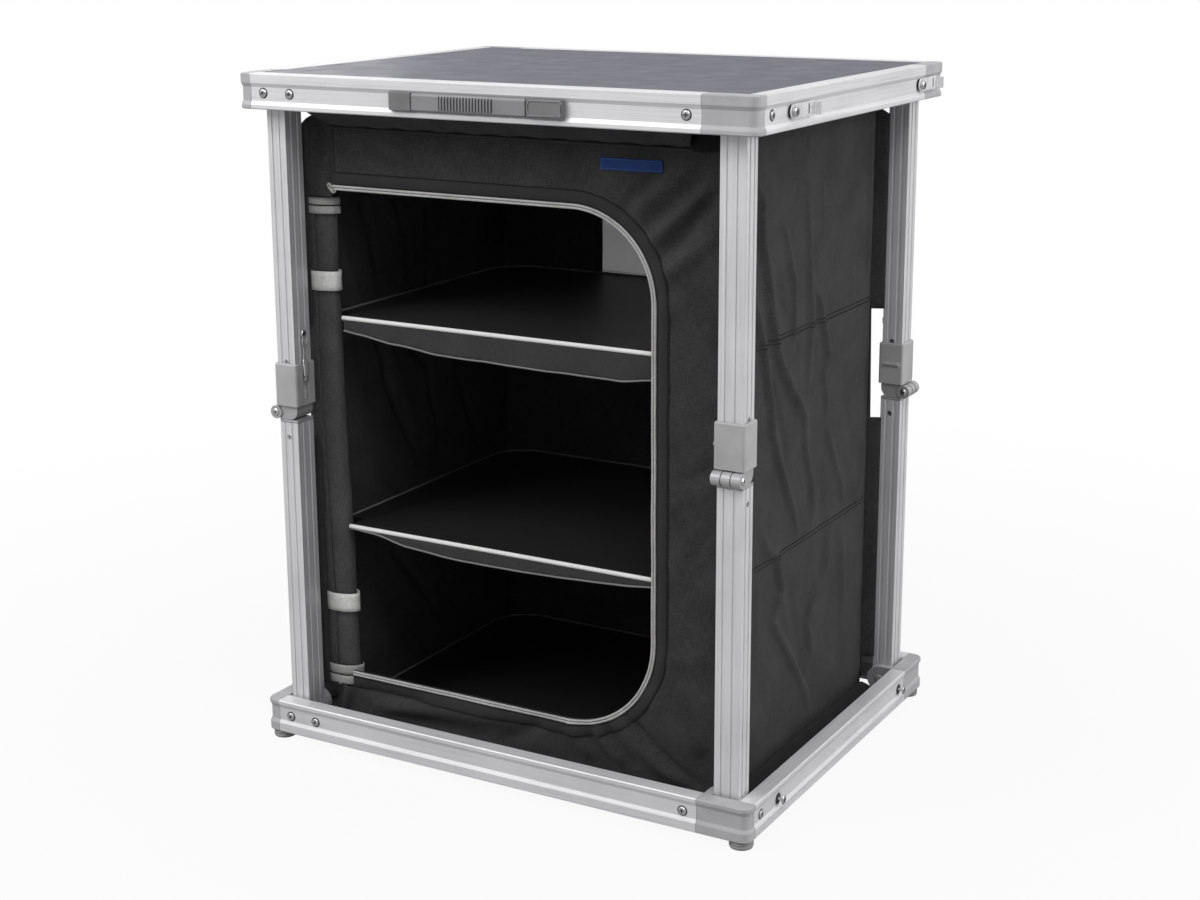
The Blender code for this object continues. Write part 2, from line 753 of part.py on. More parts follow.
def latch_mesh():
    half = latch_width / 2
    end = latch_slot_place + latch_tail
    plate_outline = [*arc(0, 0, half, 90, 270, 8), (end, -half), (end, half)]
    bolt_hole = arc(0, 0, latch_neck_radius + clearance, 0, 345, 15)
    slot = rectangle(latch_slot_place - latch_slot_width / 2, -latch_slot_height / 2,
                     latch_slot_place + latch_slot_width / 2, latch_slot_height / 2)
    inner = latch_standoff
    outer = latch_standoff + latch_thickness
    plate = prism([plate_outline, bolt_hole, slot], "YZ", inner, outer)
    tab = box((inner + latch_thickness / 2, end - latch_thickness, -half + edge_round),
              (outer + latch_tab, end + corner_bite, half - edge_round))
    return take_mesh(carve(plate, (tab,)))


latch = latch_mesh()
latch_height = frame_height - fastener_height
for side, latch_y in (("front", -(frame_depth / 2 - screw_place)), ("rear", frame_depth / 2 - screw_place)):
    plate = add_piece(f"storage_latch_{side}", latch, "steel")
    plate.location = (frame_width / 2, latch_y, latch_height)


# Carrying handle: two end blocks on the front top rail and a ribbed grip that swings between them

handle_face = -frame_depth / 2
waist_high = frame_height - wide_band - band_slope
waist_low = frame_height - rail_height + narrow_band + band_slope
handle_top = frame_height - handle_drop
handle_low = handle_top - handle_height


def block_mesh(start, end, pin_side):
    # The block lies on the rail's bands, and a rib behind it seats in the rail's waist.
    front = -handle_reach
    back = -clearance
    outline = [(start, back), (start, front + block_chamfer), (start + block_chamfer, front), (end, front),
               (end, back)]
    if pin_side < 0:
        outline = [(start, back), (start, front), (end - block_chamfer, front), (end, front + block_chamfer),
                   (end, back)]
    body = prism([outline], "XY", handle_low, handle_top)
    inner_end = end if pin_side > 0 else start
    reach = pin_side * (grip_pin_length + clearance + handle_slit)
    hole = rod((inner_end - reach, grip_axis_y, grip_axis_z), (inner_end + reach, grip_axis_y, grip_axis_z),
               grip_pin_radius + clearance)
    rib = box((start + block_chamfer, front + block_chamfer, waist_low + clearance),
              (end - block_chamfer, waist_depth - clearance, waist_high - clearance))
    return take_mesh(carve(body, (rib,), (hole,)))


def grip_mesh():
    radius = grip_thickness / 2
    back = grip_axis_y + radius
    front = grip_axis_y - radius
    section = [*arc(grip_axis_y, grip_axis_z, radius, 0, 180, 8), (front, handle_low + edge_round),
               (front + edge_round, handle_low), (back - edge_round, handle_low),
               (back, handle_low + edge_round)]
    bar = prism([section], "YZ", grip_left, grip_right)
    comb = [(grip_left + grip_rib_start, front + corner_bite)]
    for rib in range(grip_ribs):
        place = grip_left + grip_rib_start + rib * grip_rib_pitch
        comb += [(place, front - grip_rib_rise), (place + grip_rib_width, front - grip_rib_rise)]
        if rib < grip_ribs - 1:
            comb += [(place + grip_rib_width, front + corner_bite / 2),
                     (place + grip_rib_pitch, front + corner_bite / 2)]
    comb.append((comb[-1][0], front + corner_bite))
    ribs = prism([comb], "XY", handle_low + 2 * edge_round, grip_axis_z - edge_round)
    pins = [rod((end - side * corner_bite, grip_axis_y, grip_axis_z),
                (end + side * (handle_slit + grip_pin_length), grip_axis_y, grip_axis_z), grip_pin_radius)
            for side, end in ((-1, grip_left), (1, grip_right))]
    return take_mesh(carve(bar, (ribs, *pins)))


left_block = block_mesh(handle_left, handle_left + handle_left_block, 1)
right_block = block_mesh(handle_right - handle_right_block, handle_right, -1)
for name, mesh in (("handle_block_left", left_block), ("handle_block_right", right_block)):
    add_piece(name, mesh, "handle_plastic").location = (0, handle_face, 0)
grip_axis = (0, grip_axis_y, grip_axis_z)
add_piece("handle_grip", grip_mesh(), "handle_plastic", grip_axis).location = (
    0, handle_face + grip_axis_y, grip_axis_z)


# Cloth body. The left, rear and right walls are one sewn piece, with a flap at each corner it turns.

def folded_line(x, start, end, inward):
    # Points down a side wall whose cloth falls in shallow upright folds.
    count = cloth_folds * fold_points
    points = []
    for step in range(count + 1):
        share = step / count
        depth = cloth_fold * (1 - math.cos(2 * math.pi * share * cloth_folds)) / 2
        points.append((x + inward * depth, start + (end - start) * share))
    return points


def wall_outline():
    out_x, out_y, in_x, in_y = body_half_width, body_half_depth, body_inner_x, body_inner_y
    end = in_y - seam_margin
    points = [(out_x, -out_y), *folded_line(out_x, -end, end, -1), (out_x, out_y), (-out_x, out_y)]
    points += [*folded_line(-out_x, end, -end, 1), (-out_x, -in_y + clearance)]
    points += [(-in_x, -in_y + clearance), *folded_line(-in_x, -end, end, 1), (-in_x, in_y)]
    points += [(in_x, in_y), *folded_line(in_x, end, -end, -1), (in_x, -out_y)]
    return points


def flaps():
    # Three corner flaps, each in two lengths that leave the knee free.
    thin = cloth_shy
    solids = []
    for low, high in ((flap_low, notch_low), (notch_high, flap_high)):
        solids += [
            box((body_inner_x + thin, -flap_end_y, low), (body_half_width - thin, -body_inner_y, high)),
            box((body_inner_x, body_inner_y + thin, low), (flap_end_x, body_half_depth - thin, high)),
            box((-body_half_width + thin, body_inner_y, low), (-body_inner_x - thin, flap_end_y, high)),
        ]
    return solids


def walls_mesh():
    skin = prism([wall_outline()], "XY", wall_low, wall_high)
    roll_room = box((-body_half_width - cut_overrun, -body_half_depth - cut_overrun, roll_low - roll_play),
                    (-body_inner_x + cloth_fold + cut_overrun,
                     roll_centre_y + roll_thickness / 2 + roll_play, roll_high + roll_play))
    return take_mesh(carve(skin, flaps(), (roll_room,)))


def crease_lines():
    # Soft ridges run from the opening's right-hand curves to the panel's corners.
    top_x = door_right - door_upper_radius
    top_z = door_high - door_upper_radius
    low_x = door_right - door_lower_radius
    low_z = door_low + door_lower_radius
    lines = []
    for angle, share in zip(crease_angles, crease_end_shares):
        turn = math.radians(angle)
        lines.append(((top_x + door_upper_radius * math.cos(turn), top_z + door_upper_radius * math.sin(turn)),
                      (body_inner_x * share, wall_high)))
        lines.append(((low_x + door_lower_radius * math.cos(turn), low_z - door_lower_radius * math.sin(turn)),
                      (body_inner_x * share, wall_low)))
    return lines


def crease_height(x, z):
    height = 0
    for (x0, z0), (x1, z1) in crease_lines():
        run_x, run_z = x1 - x0, z1 - z0
        length = math.hypot(run_x, run_z)
        along = ((x - x0) * run_x + (z - z0) * run_z) / length ** 2
        off = ((x - x0) * run_z - (z - z0) * run_x) / length
        if 0 < along < 1:
            height += crease_rise * math.sin(math.pi * along) * math.exp(-(off / crease_spread) ** 2)
    return height


def creased_sheet(x0, z0, x1, z1):
    columns, rows = crease_columns, crease_rows
    solid = bmesh.new()
    layers = []
    for face_y in (-body_half_depth, -body_inner_y):
        layer = []
        for row in range(rows + 1):
            z = z0 + (z1 - z0) * row / rows
            places = [x0 + (x1 - x0) * column / columns for column in range(columns + 1)]
            layer.append([solid.verts.new((x, face_y - crease_height(x, z), z)) for x in places])
        layers.append(layer)
    front, back = layers
    for row in range(rows):
        for column in range(columns):
            for layer in layers:
                solid.faces.new((layer[row][column], layer[row][column + 1], layer[row + 1][column + 1],
                                 layer[row + 1][column]))
    rim = [(0, column) for column in range(columns)] + [(row, columns) for row in range(rows)]
    rim += [(rows, column) for column in range(columns, 0, -1)] + [(row, 0) for row in range(rows, 0, -1)]
    for (row_a, column_a), (row_b, column_b) in zip(rim, rim[1:] + rim[:1]):
        solid.faces.new((front[row_a][column_a], front[row_b][column_b], back[row_b][column_b],
                         back[row_a][column_a]))
    bmesh.ops.recalc_face_normals(solid, faces=solid.faces)
    mesh = bpy.data.meshes.new("sheet")
    solid.to_mesh(mesh)
    solid.free()
    return loose_object("sheet", mesh)


def front_panel_mesh():
    left, right = -body_half_width, body_inner_x - clearance
    strip = roll_centre_x - roll_width / 2
    outline = [(left, wall_low), (right, wall_low), (right, wall_high), (left, wall_high),
               (left, flap_high), (-flap_end_x, flap_high), (-flap_end_x, notch_high),
               (strip, notch_high), (strip, door_high)]
    outline += arc(door_right - door_upper_radius, door_high - door_upper_radius, door_upper_radius, 90, 0, 10)
    outline += arc(door_right - door_lower_radius, door_low + door_lower_radius, door_lower_radius, 0, -90, 10)
    outline += [(strip, door_low), (strip, notch_low), (-flap_end_x, notch_low), (-flap_end_x, flap_low),
                (left, flap_low)]
    block = prism([outline], "XZ", -body_half_depth - 2 * crease_rise, -body_inner_y + cut_overrun)
    sheet = creased_sheet(-flap_end_x - cut_overrun, wall_low - cut_overrun, right + cut_overrun,
                          wall_high + cut_overrun)
    return take_mesh(carve(sheet, kept=(block,)))


def roll_mesh():
    # The rolled door: an oval bundle, drawn in at its ends and under its two straps.
    levels = []
    for height_share, width_share in roll_shape_shares:
        across = roll_width / 2 * width_share
        deep = roll_thickness / 2 * width_share
        ring = arc(0, 0, 1, 0, 360 - 360 / roll_points, roll_points - 1)
        outline = [(roll_centre_x + u * across, roll_centre_y + v * deep) for u, v in ring]
        levels.append((roll_low + (roll_high - roll_low) * height_share, outline))
    return take_mesh(loft(levels), smooth=True)


add_piece("cloth_walls", walls_mesh(), "cloth")
add_piece("front_panel", front_panel_mesh(), "cloth")
add_piece("door_roll", roll_mesh(), "cloth")

# Boards: the floor with its base cloth, and two shelves
board_x = body_inner_x - cloth_fold - board_side_gap
board_back = body_inner_y - board_side_gap
board_front = -body_inner_y + board_front_gap


def board(low, high):
    # The front left corner is cut back for the rolled door.
    radius = board_radius
    notch_x = roll_centre_x + roll_width / 2 + roll_play
    notch_y = roll_centre_y + roll_thickness / 2 + roll_play
    outline = arc(board_x - radius, board_front + radius, radius, -90, 0, 6)
    outline += arc(board_x - radius, board_back - radius, radius, 0, 90, 6)
    outline += arc(radius - board_x, board_back - radius, radius, 90, 180, 6)
    outline += [(-board_x, notch_y), (notch_x, notch_y), (notch_x, board_front)]
    return prism([outline], "XY", low, high)


def floor_mesh():
    # The base cloth lies on the lower rails' ledges and is cut out round the four leg pockets.
    across = corner_long + base_corner_play
    along = ear_end + base_corner_play
    x, y = panel_x, panel_y
    half_x, half_y = frame_width / 2, frame_depth / 2
    outline = [(half_x - across, -y), (half_x - across, along - half_y), (x, along - half_y),
               (x, half_y - across), (half_x - along, half_y - across), (half_x - along, y),
               (across - half_x, y), (across - half_x, half_y - along), (-x, half_y - along),
               (-x, across - half_y), (along - half_x, across - half_y), (along - half_x, -y)]
    base = prism([outline], "XY", base_top - cloth, base_top)
    return take_mesh(carve(base, (board(base_top - cloth / 2, floor_top),)))


add_piece("floor_board", floor_mesh(), "shelf_board")
for name, top in (("lower_shelf", lower_shelf_top), ("upper_shelf", upper_shelf_top)):
    add_piece(name, take_mesh(board(top - shelf_thickness, top)), "shelf_board")

for unused in list(bpy.context.scene.collection.objects):
    bpy.data.objects.remove(unused)
bpy.context.view_layer.update()
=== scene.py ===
import math
import random

import bmesh
import bpy
import numpy as np
from mathutils import Matrix, Vector, geometry, noise


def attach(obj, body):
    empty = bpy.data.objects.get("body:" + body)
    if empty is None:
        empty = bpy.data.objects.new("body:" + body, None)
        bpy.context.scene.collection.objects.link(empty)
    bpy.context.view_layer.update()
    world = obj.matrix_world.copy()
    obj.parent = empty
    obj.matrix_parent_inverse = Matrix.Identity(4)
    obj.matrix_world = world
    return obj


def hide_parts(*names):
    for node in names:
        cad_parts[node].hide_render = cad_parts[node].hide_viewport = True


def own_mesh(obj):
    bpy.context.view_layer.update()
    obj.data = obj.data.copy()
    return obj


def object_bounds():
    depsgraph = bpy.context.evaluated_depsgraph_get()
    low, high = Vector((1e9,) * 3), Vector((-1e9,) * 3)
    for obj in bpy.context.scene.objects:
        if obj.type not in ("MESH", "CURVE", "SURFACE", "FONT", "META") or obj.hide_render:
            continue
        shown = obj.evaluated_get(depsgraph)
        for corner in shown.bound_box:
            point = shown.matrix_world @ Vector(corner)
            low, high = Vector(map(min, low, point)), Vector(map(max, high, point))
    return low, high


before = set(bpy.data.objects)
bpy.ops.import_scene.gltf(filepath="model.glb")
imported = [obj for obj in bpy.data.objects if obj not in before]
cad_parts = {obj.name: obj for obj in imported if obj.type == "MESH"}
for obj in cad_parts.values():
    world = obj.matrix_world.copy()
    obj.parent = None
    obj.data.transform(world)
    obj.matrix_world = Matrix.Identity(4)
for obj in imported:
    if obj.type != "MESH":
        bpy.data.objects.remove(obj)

cadLow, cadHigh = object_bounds()
print("Frame loaded")

# Every size is in metres. The cupboard's own x, y and z start in the middle of the lower rails' underside.
modelShift = Vector((-0.0049, 0.00255, 0.009))
corners = ("front_right", "rear_right", "rear_left", "front_left")
frameSize = {"width": 0.600, "depth": 0.480, "height": 0.733}
body = {
    "halfWidth": 0.243,
    "halfDepth": 0.184,
    "low": 0.0072,
    "high": 0.721,
    "flapReach": 0.034,
    "wallFlap": 0.0135,
    "flapLow": 0.045,
    "flapHigh": 0.688,
    "notchLow": 0.3345,
    "notchHigh": 0.4605,
    "thickness": 0.0009,
    "flatZ": 0.0158,
    "flatKeep": 0.0765,
}
door = {
    "left": -0.2215,
    "footLeft": -0.2165,
    "right": 0.163,
    "low": 0.067,
    "high": 0.609,
    "upperRadius": 0.090,
    "lowerRadius": 0.100,
}


def at(x, y, z):
    return Vector((x, y, z)) + modelShift


def cornerPlaces():
    w, d = frameSize["width"] / 2, frameSize["depth"] / 2
    return ((w, -d), (w, d), (-w, d), (-w, -d))


def atCorner(index, x, y, z):
    # Corner places run outward along the leg's pivot in x and inward from the rail's face in y.
    px, py = cornerPlaces()[index]
    turn = math.radians(90 * index)
    return at(px + x * math.cos(turn) - y * math.sin(turn), py + x * math.sin(turn) + y * math.cos(turn), z)


def cornerTurn(index):
    return Matrix.Rotation(math.radians(90 * index), 4, "Z")


# Camera

photoView = {
    "place": (1.0541, -1.85445, 0.901),
    "turn": 29.41,
    "drop": 13.84,
    "roll": -0.185,
    "lens": 59.17,
    "shiftX": -0.00975,
    "shiftY": -0.0417,
}


def makeCamera():
    data = bpy.data.cameras.new("photoCamera")
    data.sensor_width = 36
    data.lens = photoView["lens"]
    data.shift_x = photoView["shiftX"]
    data.shift_y = photoView["shiftY"]
    camera = bpy.data.objects.new("photoCamera", data)
    tilt = Matrix.Rotation(math.radians(photoView["turn"]), 4, "Z")
    tilt = tilt @ Matrix.Rotation(math.radians(90 - photoView["drop"]), 4, "X")
    tilt = tilt @ Matrix.Rotation(math.radians(photoView["roll"]), 4, "Z")
    camera.matrix_world = Matrix.Translation(photoView["place"]) @ tilt
    bpy.context.scene.collection.objects.link(camera)
    bpy.context.scene.camera = camera


makeCamera()

# Materials


def srgb(red, green, blue):
    # Colours are written as the eye reads them, 0 to 255.
    def linear(value):
        share = value / 255
        return share / 12.92 if share <= 0.04045 else ((share + 0.055) / 1.055) ** 2.4
    return (linear(red), linear(green), linear(blue), 1.0)


def newFinish(name, roughness=0.5, metallic=0.0, specular=0.5, sheen=0.0):
    finish = bpy.data.materials.new(name)
    finish.use_nodes = True
    shader = finish.node_tree.nodes["Principled BSDF"]
    shader.inputs["Roughness"].default_value = roughness
    shader.inputs["Metallic"].default_value = metallic
    shader.inputs["Specular IOR Level"].default_value = specular
    shader.inputs["Sheen Weight"].default_value = sheen
    return finish, finish.node_tree, shader


def addNode(tree, kind, links=None, **settings):
    made = tree.nodes.new("ShaderNode" + kind)
    for key, value in settings.items():
        setattr(made, key, value)
    for key, value in (links or {}).items():
        if isinstance(value, bpy.types.NodeSocket):
            tree.links.new(value, made.inputs[key])
        else:
            made.inputs[key].default_value = value
    return made


def mathNode(tree, operation, first, second=0.0):
    return addNode(tree, "Math", {0: first, 1: second}, operation=operation).outputs[0]


def ramp(tree, factor, stops):
    made = addNode(tree, "ValToRGB", {"Fac": factor})
    elements = made.color_ramp.elements
    while len(elements) < len(stops):
        elements.new(0.5)
    for element, (place, colour) in zip(elements, stops):
        element.position = place
        element.color = colour
    return made.outputs["Color"]


def stretchedNoise(tree, source, scale, detail):
    mapped = addNode(tree, "Mapping", {"Vector": source, "Scale": scale})
    links = {"Vector": mapped.outputs[0], "Scale": 1.0, "Detail": detail}
    return addNode(tree, "TexNoise", links).outputs["Fac"]


def mixOf(tree, first, firstShare, second, secondShare):
    first = mathNode(tree, "MULTIPLY", first, firstShare)
    return mathNode(tree, "ADD", first, mathNode(tree, "MULTIPLY", second, secondShare))


def threads(tree, pattern, pitch):
    # Waves across and down the cut pattern, one for each thread.
    split = addNode(tree, "SeparateXYZ", {0: pattern})
    turns = 2 * math.pi / pitch
    return [mathNode(tree, "SINE", mathNode(tree, "MULTIPLY", split.outputs[way], turns)) for way in (0, 1)]


def toned(tree, shader, factor, colour, shares, places):
    # The colour, darker in the hollows of a pattern and lighter on its crests.
    dark = tuple(channel * shares[0] for channel in colour[:3]) + (1.0,)
    light = tuple(min(1.0, channel * shares[1]) for channel in colour[:3]) + (1.0,)
    shade = ramp(tree, factor, ((places[0], dark), (0.5, colour), (places[1], light)))
    tree.links.new(shade, shader.inputs["Base Color"])


def worn(tree, shader, factor, roughness, swing):
    rough = addNode(tree, "MapRange", {"Value": factor, "From Min": 0.3, "From Max": 0.7,
                                       "To Min": roughness - swing, "To Max": roughness + swing})
    tree.links.new(rough.outputs[0], shader.inputs["Roughness"])


def raisedBy(tree, shader, height, distance, edge=None):
    links = {"Height": height, "Distance": distance, "Strength": 1.0}
    if edge is not None:
        links["Normal"] = addNode(tree, "Bevel", {"Radius": edge}, samples=4).outputs[0]
    tree.links.new(addNode(tree, "Bump", links).outputs[0], shader.inputs["Normal"])


def clothFinish(name, colour, thread=0.0008, spread=0.22, lift=0.00022, sheen=0.05, roughness=0.85):
    # Plain woven cloth. The mesh's UVs are its cut pattern in metres, so the threads keep one size.
    finish, tree, shader = newFinish(name, roughness, 0.0, 0.25, sheen)
    shader.inputs["Sheen Roughness"].default_value = 0.5
    pattern = addNode(tree, "TexCoord").outputs["UV"]
    weave = mathNode(tree, "MULTIPLY", *threads(tree, pattern, thread))
    slubAcross = stretchedNoise(tree, pattern, (110, 1100, 1), 3)
    slubDown = stretchedNoise(tree, pattern, (1100, 110, 1), 3)
    slub = mathNode(tree, "MULTIPLY", mathNode(tree, "ADD", slubAcross, slubDown), 0.5)
    cloud = stretchedNoise(tree, pattern, (22, 22, 1), 3)
    tone = mixOf(tree, slub, 0.72, cloud, 0.28)
    toned(tree, shader, tone, colour, (1 - spread * 1.6, 1 + spread * 1.9), (0.40, 0.61))
    ends = {"Value": tone, "To Min": roughness - 0.12, "To Max": roughness + 0.10}
    rough = addNode(tree, "MapRange", ends)
    tree.links.new(rough.outputs[0], shader.inputs["Roughness"])
    height = mathNode(tree, "ADD", mathNode(tree, "MULTIPLY", weave, 0.25), slub)
    raisedBy(tree, shader, height, lift)
    return finish


def metalFinish(name, along, colour, roughness=0.40, metallic=0.85, edge=0.0006):
    # Drawn or cast metal, with fine lines along one axis of the part.
    finish, tree, shader = newFinish(name, roughness, metallic)
    place = addNode(tree, "TexCoord").outputs["Object"]
    scale = [900.0, 900.0, 900.0]
    if along is not None:
        scale["XYZ".index(along)] = 7.0
    lines = stretchedNoise(tree, place, scale, 5)
    cloud = stretchedNoise(tree, place, (14, 14, 14), 4)
    rub = stretchedNoise(tree, place, (160, 160, 160), 6)
    toned(tree, shader, mixOf(tree, lines, 0.6, cloud, 0.4), colour, (0.86, 1.08), (0.35, 0.66))
    worn(tree, shader, mixOf(tree, lines, 0.5, rub, 0.5), roughness, 0.09)
    raisedBy(tree, shader, lines, 0.00006, edge)
    return finish


def plasticFinish(name, colour, roughness=0.5, grain=1400.0, lift=0.00008, edge=0.0008, specular=0.45):
    finish, tree, shader = newFinish(name, roughness, 0.0, specular)
    place = addNode(tree, "TexCoord").outputs["Object"]
    pits = stretchedNoise(tree, place, (grain, grain, grain), 2)
    cloud = stretchedNoise(tree, place, (30, 30, 30), 5)
    toned(tree, shader, cloud, colour, (0.88, 1.1), (0.32, 0.7))
    worn(tree, shader, cloud, roughness, 0.07)
    raisedBy(tree, shader, pits, lift, edge)
    return finish


def meshFinish(name, colour, pitch, openShare):
    # Window netting: fine threads with clear holes between them, from the cut pattern in metres.
    finish, tree, shader = newFinish(name, 0.7)
    shader.inputs["Base Color"].default_value = colour
    pattern = addNode(tree, "TexCoord").outputs["UV"]
    thread = mathNode(tree, "MAXIMUM", *threads(tree, pattern, pitch))
    ends = {"Value": thread, "From Min": openShare, "From Max": openShare + 0.2}
    solid = addNode(tree, "MapRange", ends)
    slack = stretchedNoise(tree, pattern, (60, 60, 1), 2)
    shade = ramp(tree, slack, ((0.3, tuple(c * 0.8 for c in colour[:3]) + (1.0,)), (0.7, colour)))
    tree.links.new(shade, shader.inputs["Base Color"])
    tree.links.new(solid.outputs[0], shader.inputs["Alpha"])
    return finish


finishes = {
    "railX": metalFinish("drawnRailAcross", "X", srgb(204, 204, 206), 0.52, 0.30),
    "railY": metalFinish("drawnRailDeep", "Y", srgb(204, 204, 206), 0.52, 0.30),
    "leg": metalFinish("drawnLeg", "Z", srgb(206, 206, 208), 0.46, 0.40),
    "corner": plasticFinish("mouldedCorner", srgb(162, 162, 164), 0.55),
    "foot": plasticFinish("ribbedFoot", srgb(142, 142, 143), 0.6),
    "casting": metalFinish("castKnee", None, srgb(160, 160, 161), 0.55, 0.35, 0.0008),
    "collar": plasticFinish("lockCollar", srgb(160, 160, 161), 0.52),
    "steel": metalFinish("brightSteel", None, srgb(190, 190, 191), 0.22, 0.95, 0.0004),
    "latch": metalFinish("latchPlate", "Z", srgb(228, 228, 229), 0.26, 0.35, 0.0004),
    "catch": metalFinish("springCatch", "Z", srgb(206, 206, 207), 0.24, 0.5, 0.0004),
    "table": plasticFinish("tablePanel", srgb(88, 88, 99), 0.45, 900.0, 0.00004, 0.0004, 0.04),
    "handle": plasticFinish("handleBlock", srgb(108, 108, 109), 0.5),
    "grip": plasticFinish("handleGrip", srgb(122, 122, 124), 0.42),
    "cloth": clothFinish("charcoalCloth", srgb(44, 44, 45), 0.0008, 0.30, 0.00045),
    "smoothCloth": clothFinish("doorBinding", srgb(34, 34, 35), 0.0007, 0.12, 0.00012),
    "rollCloth": clothFinish("rolledCloth", srgb(70, 70, 71)),
    # Dark board cloth for the shelves and floor, made darker still as painted shade of the cupboard's
    # inside.
    "innerClothAndShade": clothFinish("shelfClothAndInsideShade", srgb(20, 20, 21), 0.0009, 0.10, 0.00010, 0.02, 0.42),
    "skirtCloth": clothFinish("skirtCloth", srgb(45, 45, 46), 0.0008, 0.15),
    "webbing": clothFinish("greyWebbing", srgb(212, 212, 210), 0.0016, 0.10, 0.00035),
    "piping": clothFinish("whitePiping", srgb(214, 214, 212), 0.0012, 0.06, 0.00025),
    "greyPiping": clothFinish("greyPiping", srgb(112, 112, 112), 0.0012, 0.08, 0.00025),
    "zip": clothFinish("zipCoil", srgb(168, 168, 166), 0.0013, 0.10, 0.0005),
    # Dark thread for the stitches; it also colours the door's strips of painted seam shadow.
    "thread": clothFinish("darkThreadAndSeamShadow", srgb(11, 11, 12), 0.0004, 0.10, 0.00005),
    "patch": clothFinish("plainPatch", srgb(24, 50, 102), 0.0006, 0.10, 0.00010),
    "patchThread": clothFinish("patchThread", srgb(84, 110, 156), 0.0004, 0.10, 0.00005),
    "foldShade": clothFinish("foldShade", srgb(8, 8, 9), 0.0008, 0.10, 0.00010),
    "net": meshFinish("windowNet", srgb(88, 88, 88), 0.0010, -0.2),
    # Painted shade: the dark colour put in the fittings' holes, gaps, grooves, slits and dots.
    "recessShade": plasticFinish("paintedRecessShade", srgb(38, 38, 40), 0.6, 1400.0, 0.00004, 0.0002),
}


def dressNodes():
    # Every CAD piece that stays in view gets the finish of the real one.
    rules = (
        ("_rail_front", "railX"), ("_rail_rear", "railX"), ("_rail_right", "railY"), ("_rail_left", "railY"),
        ("bottom_corner", "corner"), ("top_corner", "corner"), ("foot_", "foot"), ("lower_leg", "leg"),
        ("upper_leg", "leg"), ("lower_hinge", "casting"), ("upper_hinge", "casting"), ("knee_pin", "steel"),
        ("lock_collar", "collar"), ("collar_catch", "catch"), ("storage_latch", "latch"),
        ("handle_block", "handle"), ("handle_grip", "grip"), ("table_panel", "table"),
        ("cloth_walls", "cloth"), ("front_panel", "cloth"), ("door_roll", "rollCloth"),
        ("floor_board", "innerClothAndShade"), ("_shelf", "innerClothAndShade"),
    )
    for nodeName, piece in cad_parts.items():
        for part, finish in rules:
            if part in nodeName:
                piece.data.materials.clear()
                piece.data.materials.append(finishes[finish])
                break
        else:
            print("No finish for", nodeName)


dressNodes()
print("Materials made")

# Mesh helpers


def addMesh(name, points, faces, finish, uvs=None, smooth=True):
    mesh = bpy.data.meshes.new(name)
    mesh.from_pydata([tuple(point) for point in points], [], faces)
    mesh.materials.append(finishes[finish])
    layer = mesh.uv_layers.new(name="cutPattern")
    for loop in mesh.loops:
        if uvs is not None:
            layer.data[loop.index].uv = uvs[loop.vertex_index]
        else:
            spot = mesh.vertices[loop.vertex_index].co
            layer.data[loop.index].uv = (spot.x + spot.y, spot.z)
    mesh.polygons.foreach_set("use_smooth", [smooth] * len(mesh.polygons))
    piece = bpy.data.objects.new(name, mesh)
    bpy.context.scene.collection.objects.link(piece)
    return piece


def settle(piece):
    # Keep the modifiers' result as the piece's own mesh.
    bpy.context.view_layer.update()
    graph = bpy.context.evaluated_depsgraph_get()
    mesh = bpy.data.meshes.new_from_object(piece.evaluated_get(graph))
    piece.modifiers.clear()
    piece.data = mesh
    return piece


def thicken(piece, thickness, offset=-1.0):
    solid = piece.modifiers.new("thickness", "SOLIDIFY")
    solid.thickness = thickness
    solid.offset = offset
    return settle(piece)


def raised(place, lift):
    # The same place on a cloth, a little above it.
    return lambda u, v, rise=0.0: place(u, v, lift + rise)


def gridFaces(rows, steps):
    wide = steps + 1
    faces = []
    for row in range(rows):
        for step in range(steps):
            a = row * wide + step
            faces.append((a, a + 1, a + 1 + wide, a + wide))
    return faces


def beadFaces(first):
    # A bead of four rings with four points each.
    faces = []
    for step in range(3):
        for side in range(4):
            a = first + step * 4 + side
            b = first + step * 4 + (side + 1) % 4
            faces.append((a, b, b + 4, a + 4))
    faces.append((first, first + 3, first + 2, first + 1))
    faces.append((first + 12, first + 13, first + 14, first + 15))
    return faces


def shadePlate(name, points, bodyName):
    # A thin dark plate of painted shade on a fitting, from two like outlines, one after the other.
    count = len(points) // 2
    faces = [tuple(range(count)), tuple(range(count, 2 * count))[::-1]]
    faces += [(i, (i + 1) % count, (i + 1) % count + count, i + count) for i in range(count)]
    piece = addMesh(name, points, faces, "recessShade", smooth=False)
    cleanNormals(piece)
    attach(piece, bodyName)


def resample(loop, pitch):
    points = []
    for first, second in zip(loop, loop[1:] + loop[:1]):
        first, second = Vector(first), Vector(second)
        steps = max(1, round((second - first).length / pitch))
        points += [first.lerp(second, step / steps) for step in range(steps)]
    return points


def insideMask(loop, spots):
    inside = np.zeros(len(spots), bool)
    for (x0, y0), (x1, y1) in zip(loop, loop[1:] + loop[:1]):
        if y0 == y1:
            continue
        crosses = (spots[:, 1] > min(y0, y1)) & (spots[:, 1] <= max(y0, y1))
        reach = x0 + (spots[:, 1] - y0) / (y1 - y0) * (x1 - x0)
        inside ^= crosses & (spots[:, 0] < reach)
    return inside


